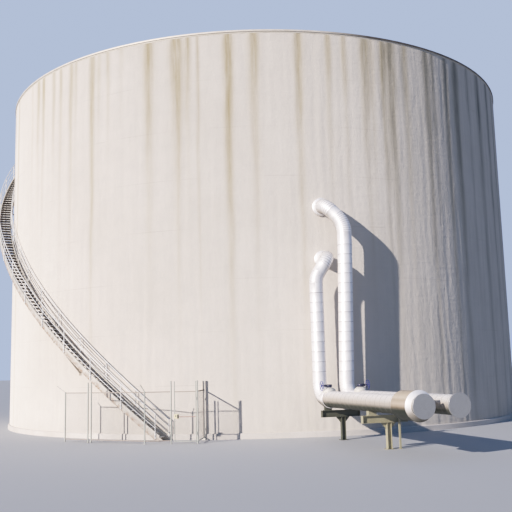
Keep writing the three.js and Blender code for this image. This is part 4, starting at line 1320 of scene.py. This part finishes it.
def build_return():
    along = (wall_end - gate_right).normalized()
    shape = Shape()
    add_post(shape, gate_right, POST_HEIGHT)
    side = WALL_POST_SIZE - 0.002
    shape.box(at(wall_end, 0), at(wall_end, POST_HEIGHT), side, side, along, 3)
    start, end = gate_right + along * 0.025, wall_end - along * 0.025
    shape.box(at(start, GATE_HEIGHT - 0.02), at(end, GATE_HEIGHT - 0.02), 0.04, 0.04, UP, 2)
    inner_stile = wall_end - along * (WALL_POST_SIZE / 2 + 0.022) - along.cross(UP) * 0.030
    shape.box(at(inner_stile, 0.1), at(inner_stile, GATE_HEIGHT + 0.38), 0.030, 0.034, along, 4)
    shape.box(at(start, 0.12), at(end, 0.12), 0.04, 0.04, UP)
    add_mesh(shape, start, end, 0.12, GATE_HEIGHT - 0.02)
    inner = gate_right + leaf_line * 0.012 + outward * 0.015
    for z in HINGE_HEIGHTS:
        shape.lathe([(0, 0), (0.0118, 0), (0.0118, 0.06), (0, 0.06)], at(hinge, z), UP, 16)
        shape.box(at(hinge, z + 0.03), at(inner, z + 0.03), 0.020, 0.028)
    for z in (1.75, 0.45):
        ends = [around(r, WALL_POST_ANGLE, z) for r in (TANK_RADIUS + 0.004, FLOOR_RADIUS + 0.04)]
        shape.box(*ends, 0.06, 0.06)
    cover("return_panel", shape, ["fence", "mesh", "dark", "white", "top_rail"], "fence_metal")


build_return()

# Stage, light and camera
FLOOR_REACH = 400.0
FLOOR_COLOR = (0.50, 0.51, 0.53)
SKY_SEEN = (0.40, 0.48, 0.68)
SKY_LIGHT = (0.05, 0.12, 0.25)
SUN_STRENGTH = 4.8
SUN_SPREAD = 0.8
SUN_COLOR = (1.0, 0.91, 0.83)
SUN_HEADING, SUN_HEIGHT = 42.5, 21.5
LENS = 54.13
SENSOR = 36
CAMERA_PLACE = (0, -48.910, 2.978)
YAW, PITCH, ROLL = -0.0026640, 0.1456425, -0.0251240

floor_mesh = bpy.data.meshes.new("floor")
corners = [(FLOOR_REACH * i, FLOOR_REACH * j, 0) for i, j in ((-1, -1), (1, -1), (1, 1), (-1, 1))]
floor_mesh.from_pydata(corners, [], [(0, 1, 2, 3)])
floor_mesh.materials.append(Nodes("plain_floor").finish(FLOOR_COLOR, 0.9))
floor = add_object("floor", floor_mesh)
floor.location.z = -0.002

world = bpy.data.worlds.new("studio")
bpy.context.scene.world = world
world.use_nodes = True
background = world.node_tree.nodes["Background"]
rays = world.node_tree.nodes.new("ShaderNodeLightPath")
blend = world.node_tree.nodes.new("ShaderNodeMix")
blend.data_type = "RGBA"
blend.inputs[6].default_value = (*SKY_SEEN, 1)
blend.inputs[7].default_value = (*SKY_LIGHT, 1)
world.node_tree.links.new(rays.outputs["Is Diffuse Ray"], blend.inputs[0])
world.node_tree.links.new(blend.outputs[2], background.inputs["Color"])
background.inputs["Strength"].default_value = 1.0

sun_data = bpy.data.lights.new("key", "SUN")
sun_data.energy = SUN_STRENGTH
sun_data.angle = rad(SUN_SPREAD)
sun_data.color = SUN_COLOR
sun = add_object("key", sun_data)
travel = Vector((
    math.cos(rad(SUN_HEADING)) * math.cos(rad(SUN_HEIGHT)),
    math.sin(rad(SUN_HEADING)) * math.cos(rad(SUN_HEIGHT)),
    -math.sin(rad(SUN_HEIGHT)),
))
sun.rotation_euler = travel.to_track_quat("-Z", "Y").to_euler()

camera_data = bpy.data.cameras.new("camera")
camera_data.lens = LENS
camera_data.sensor_width = SENSOR
camera_data.clip_end = 5 * FLOOR_REACH
camera = add_object("camera", camera_data)
forward = Vector((math.sin(YAW) * math.cos(PITCH), math.cos(YAW) * math.cos(PITCH), math.sin(PITCH)))
level_right = Vector((math.cos(YAW), -math.sin(YAW), 0))
level_up = level_right.cross(forward)
right = level_right * math.cos(ROLL) + level_up * math.sin(ROLL)
upward = -level_right * math.sin(ROLL) + level_up * math.cos(ROLL)
place = Matrix((right, upward, -forward)).transposed().to_4x4()
place.translation = Vector(CAMERA_PLACE)
camera.matrix_world = place
bpy.context.scene.camera = camera

# Print-like tone: the highlights roll off as in the photo
TONE = [(0.0, 0.0), (0.10, 0.155), (0.25, 0.40), (0.42, 0.61), (0.62, 0.775), (0.82, 0.895), (1.0, 0.96)]
view = bpy.context.scene.view_settings
view.view_transform = "Standard"
view.use_curve_mapping = True
view.curve_mapping.white_level = (1.4, 1.4, 1.4)
tone_curve = view.curve_mapping.curves[3]
tone_curve.points[0].location = TONE[0]
tone_curve.points[-1].location = TONE[-1]
for spot in TONE[1:-1]:
    tone_curve.points.new(*spot)
view.curve_mapping.update()
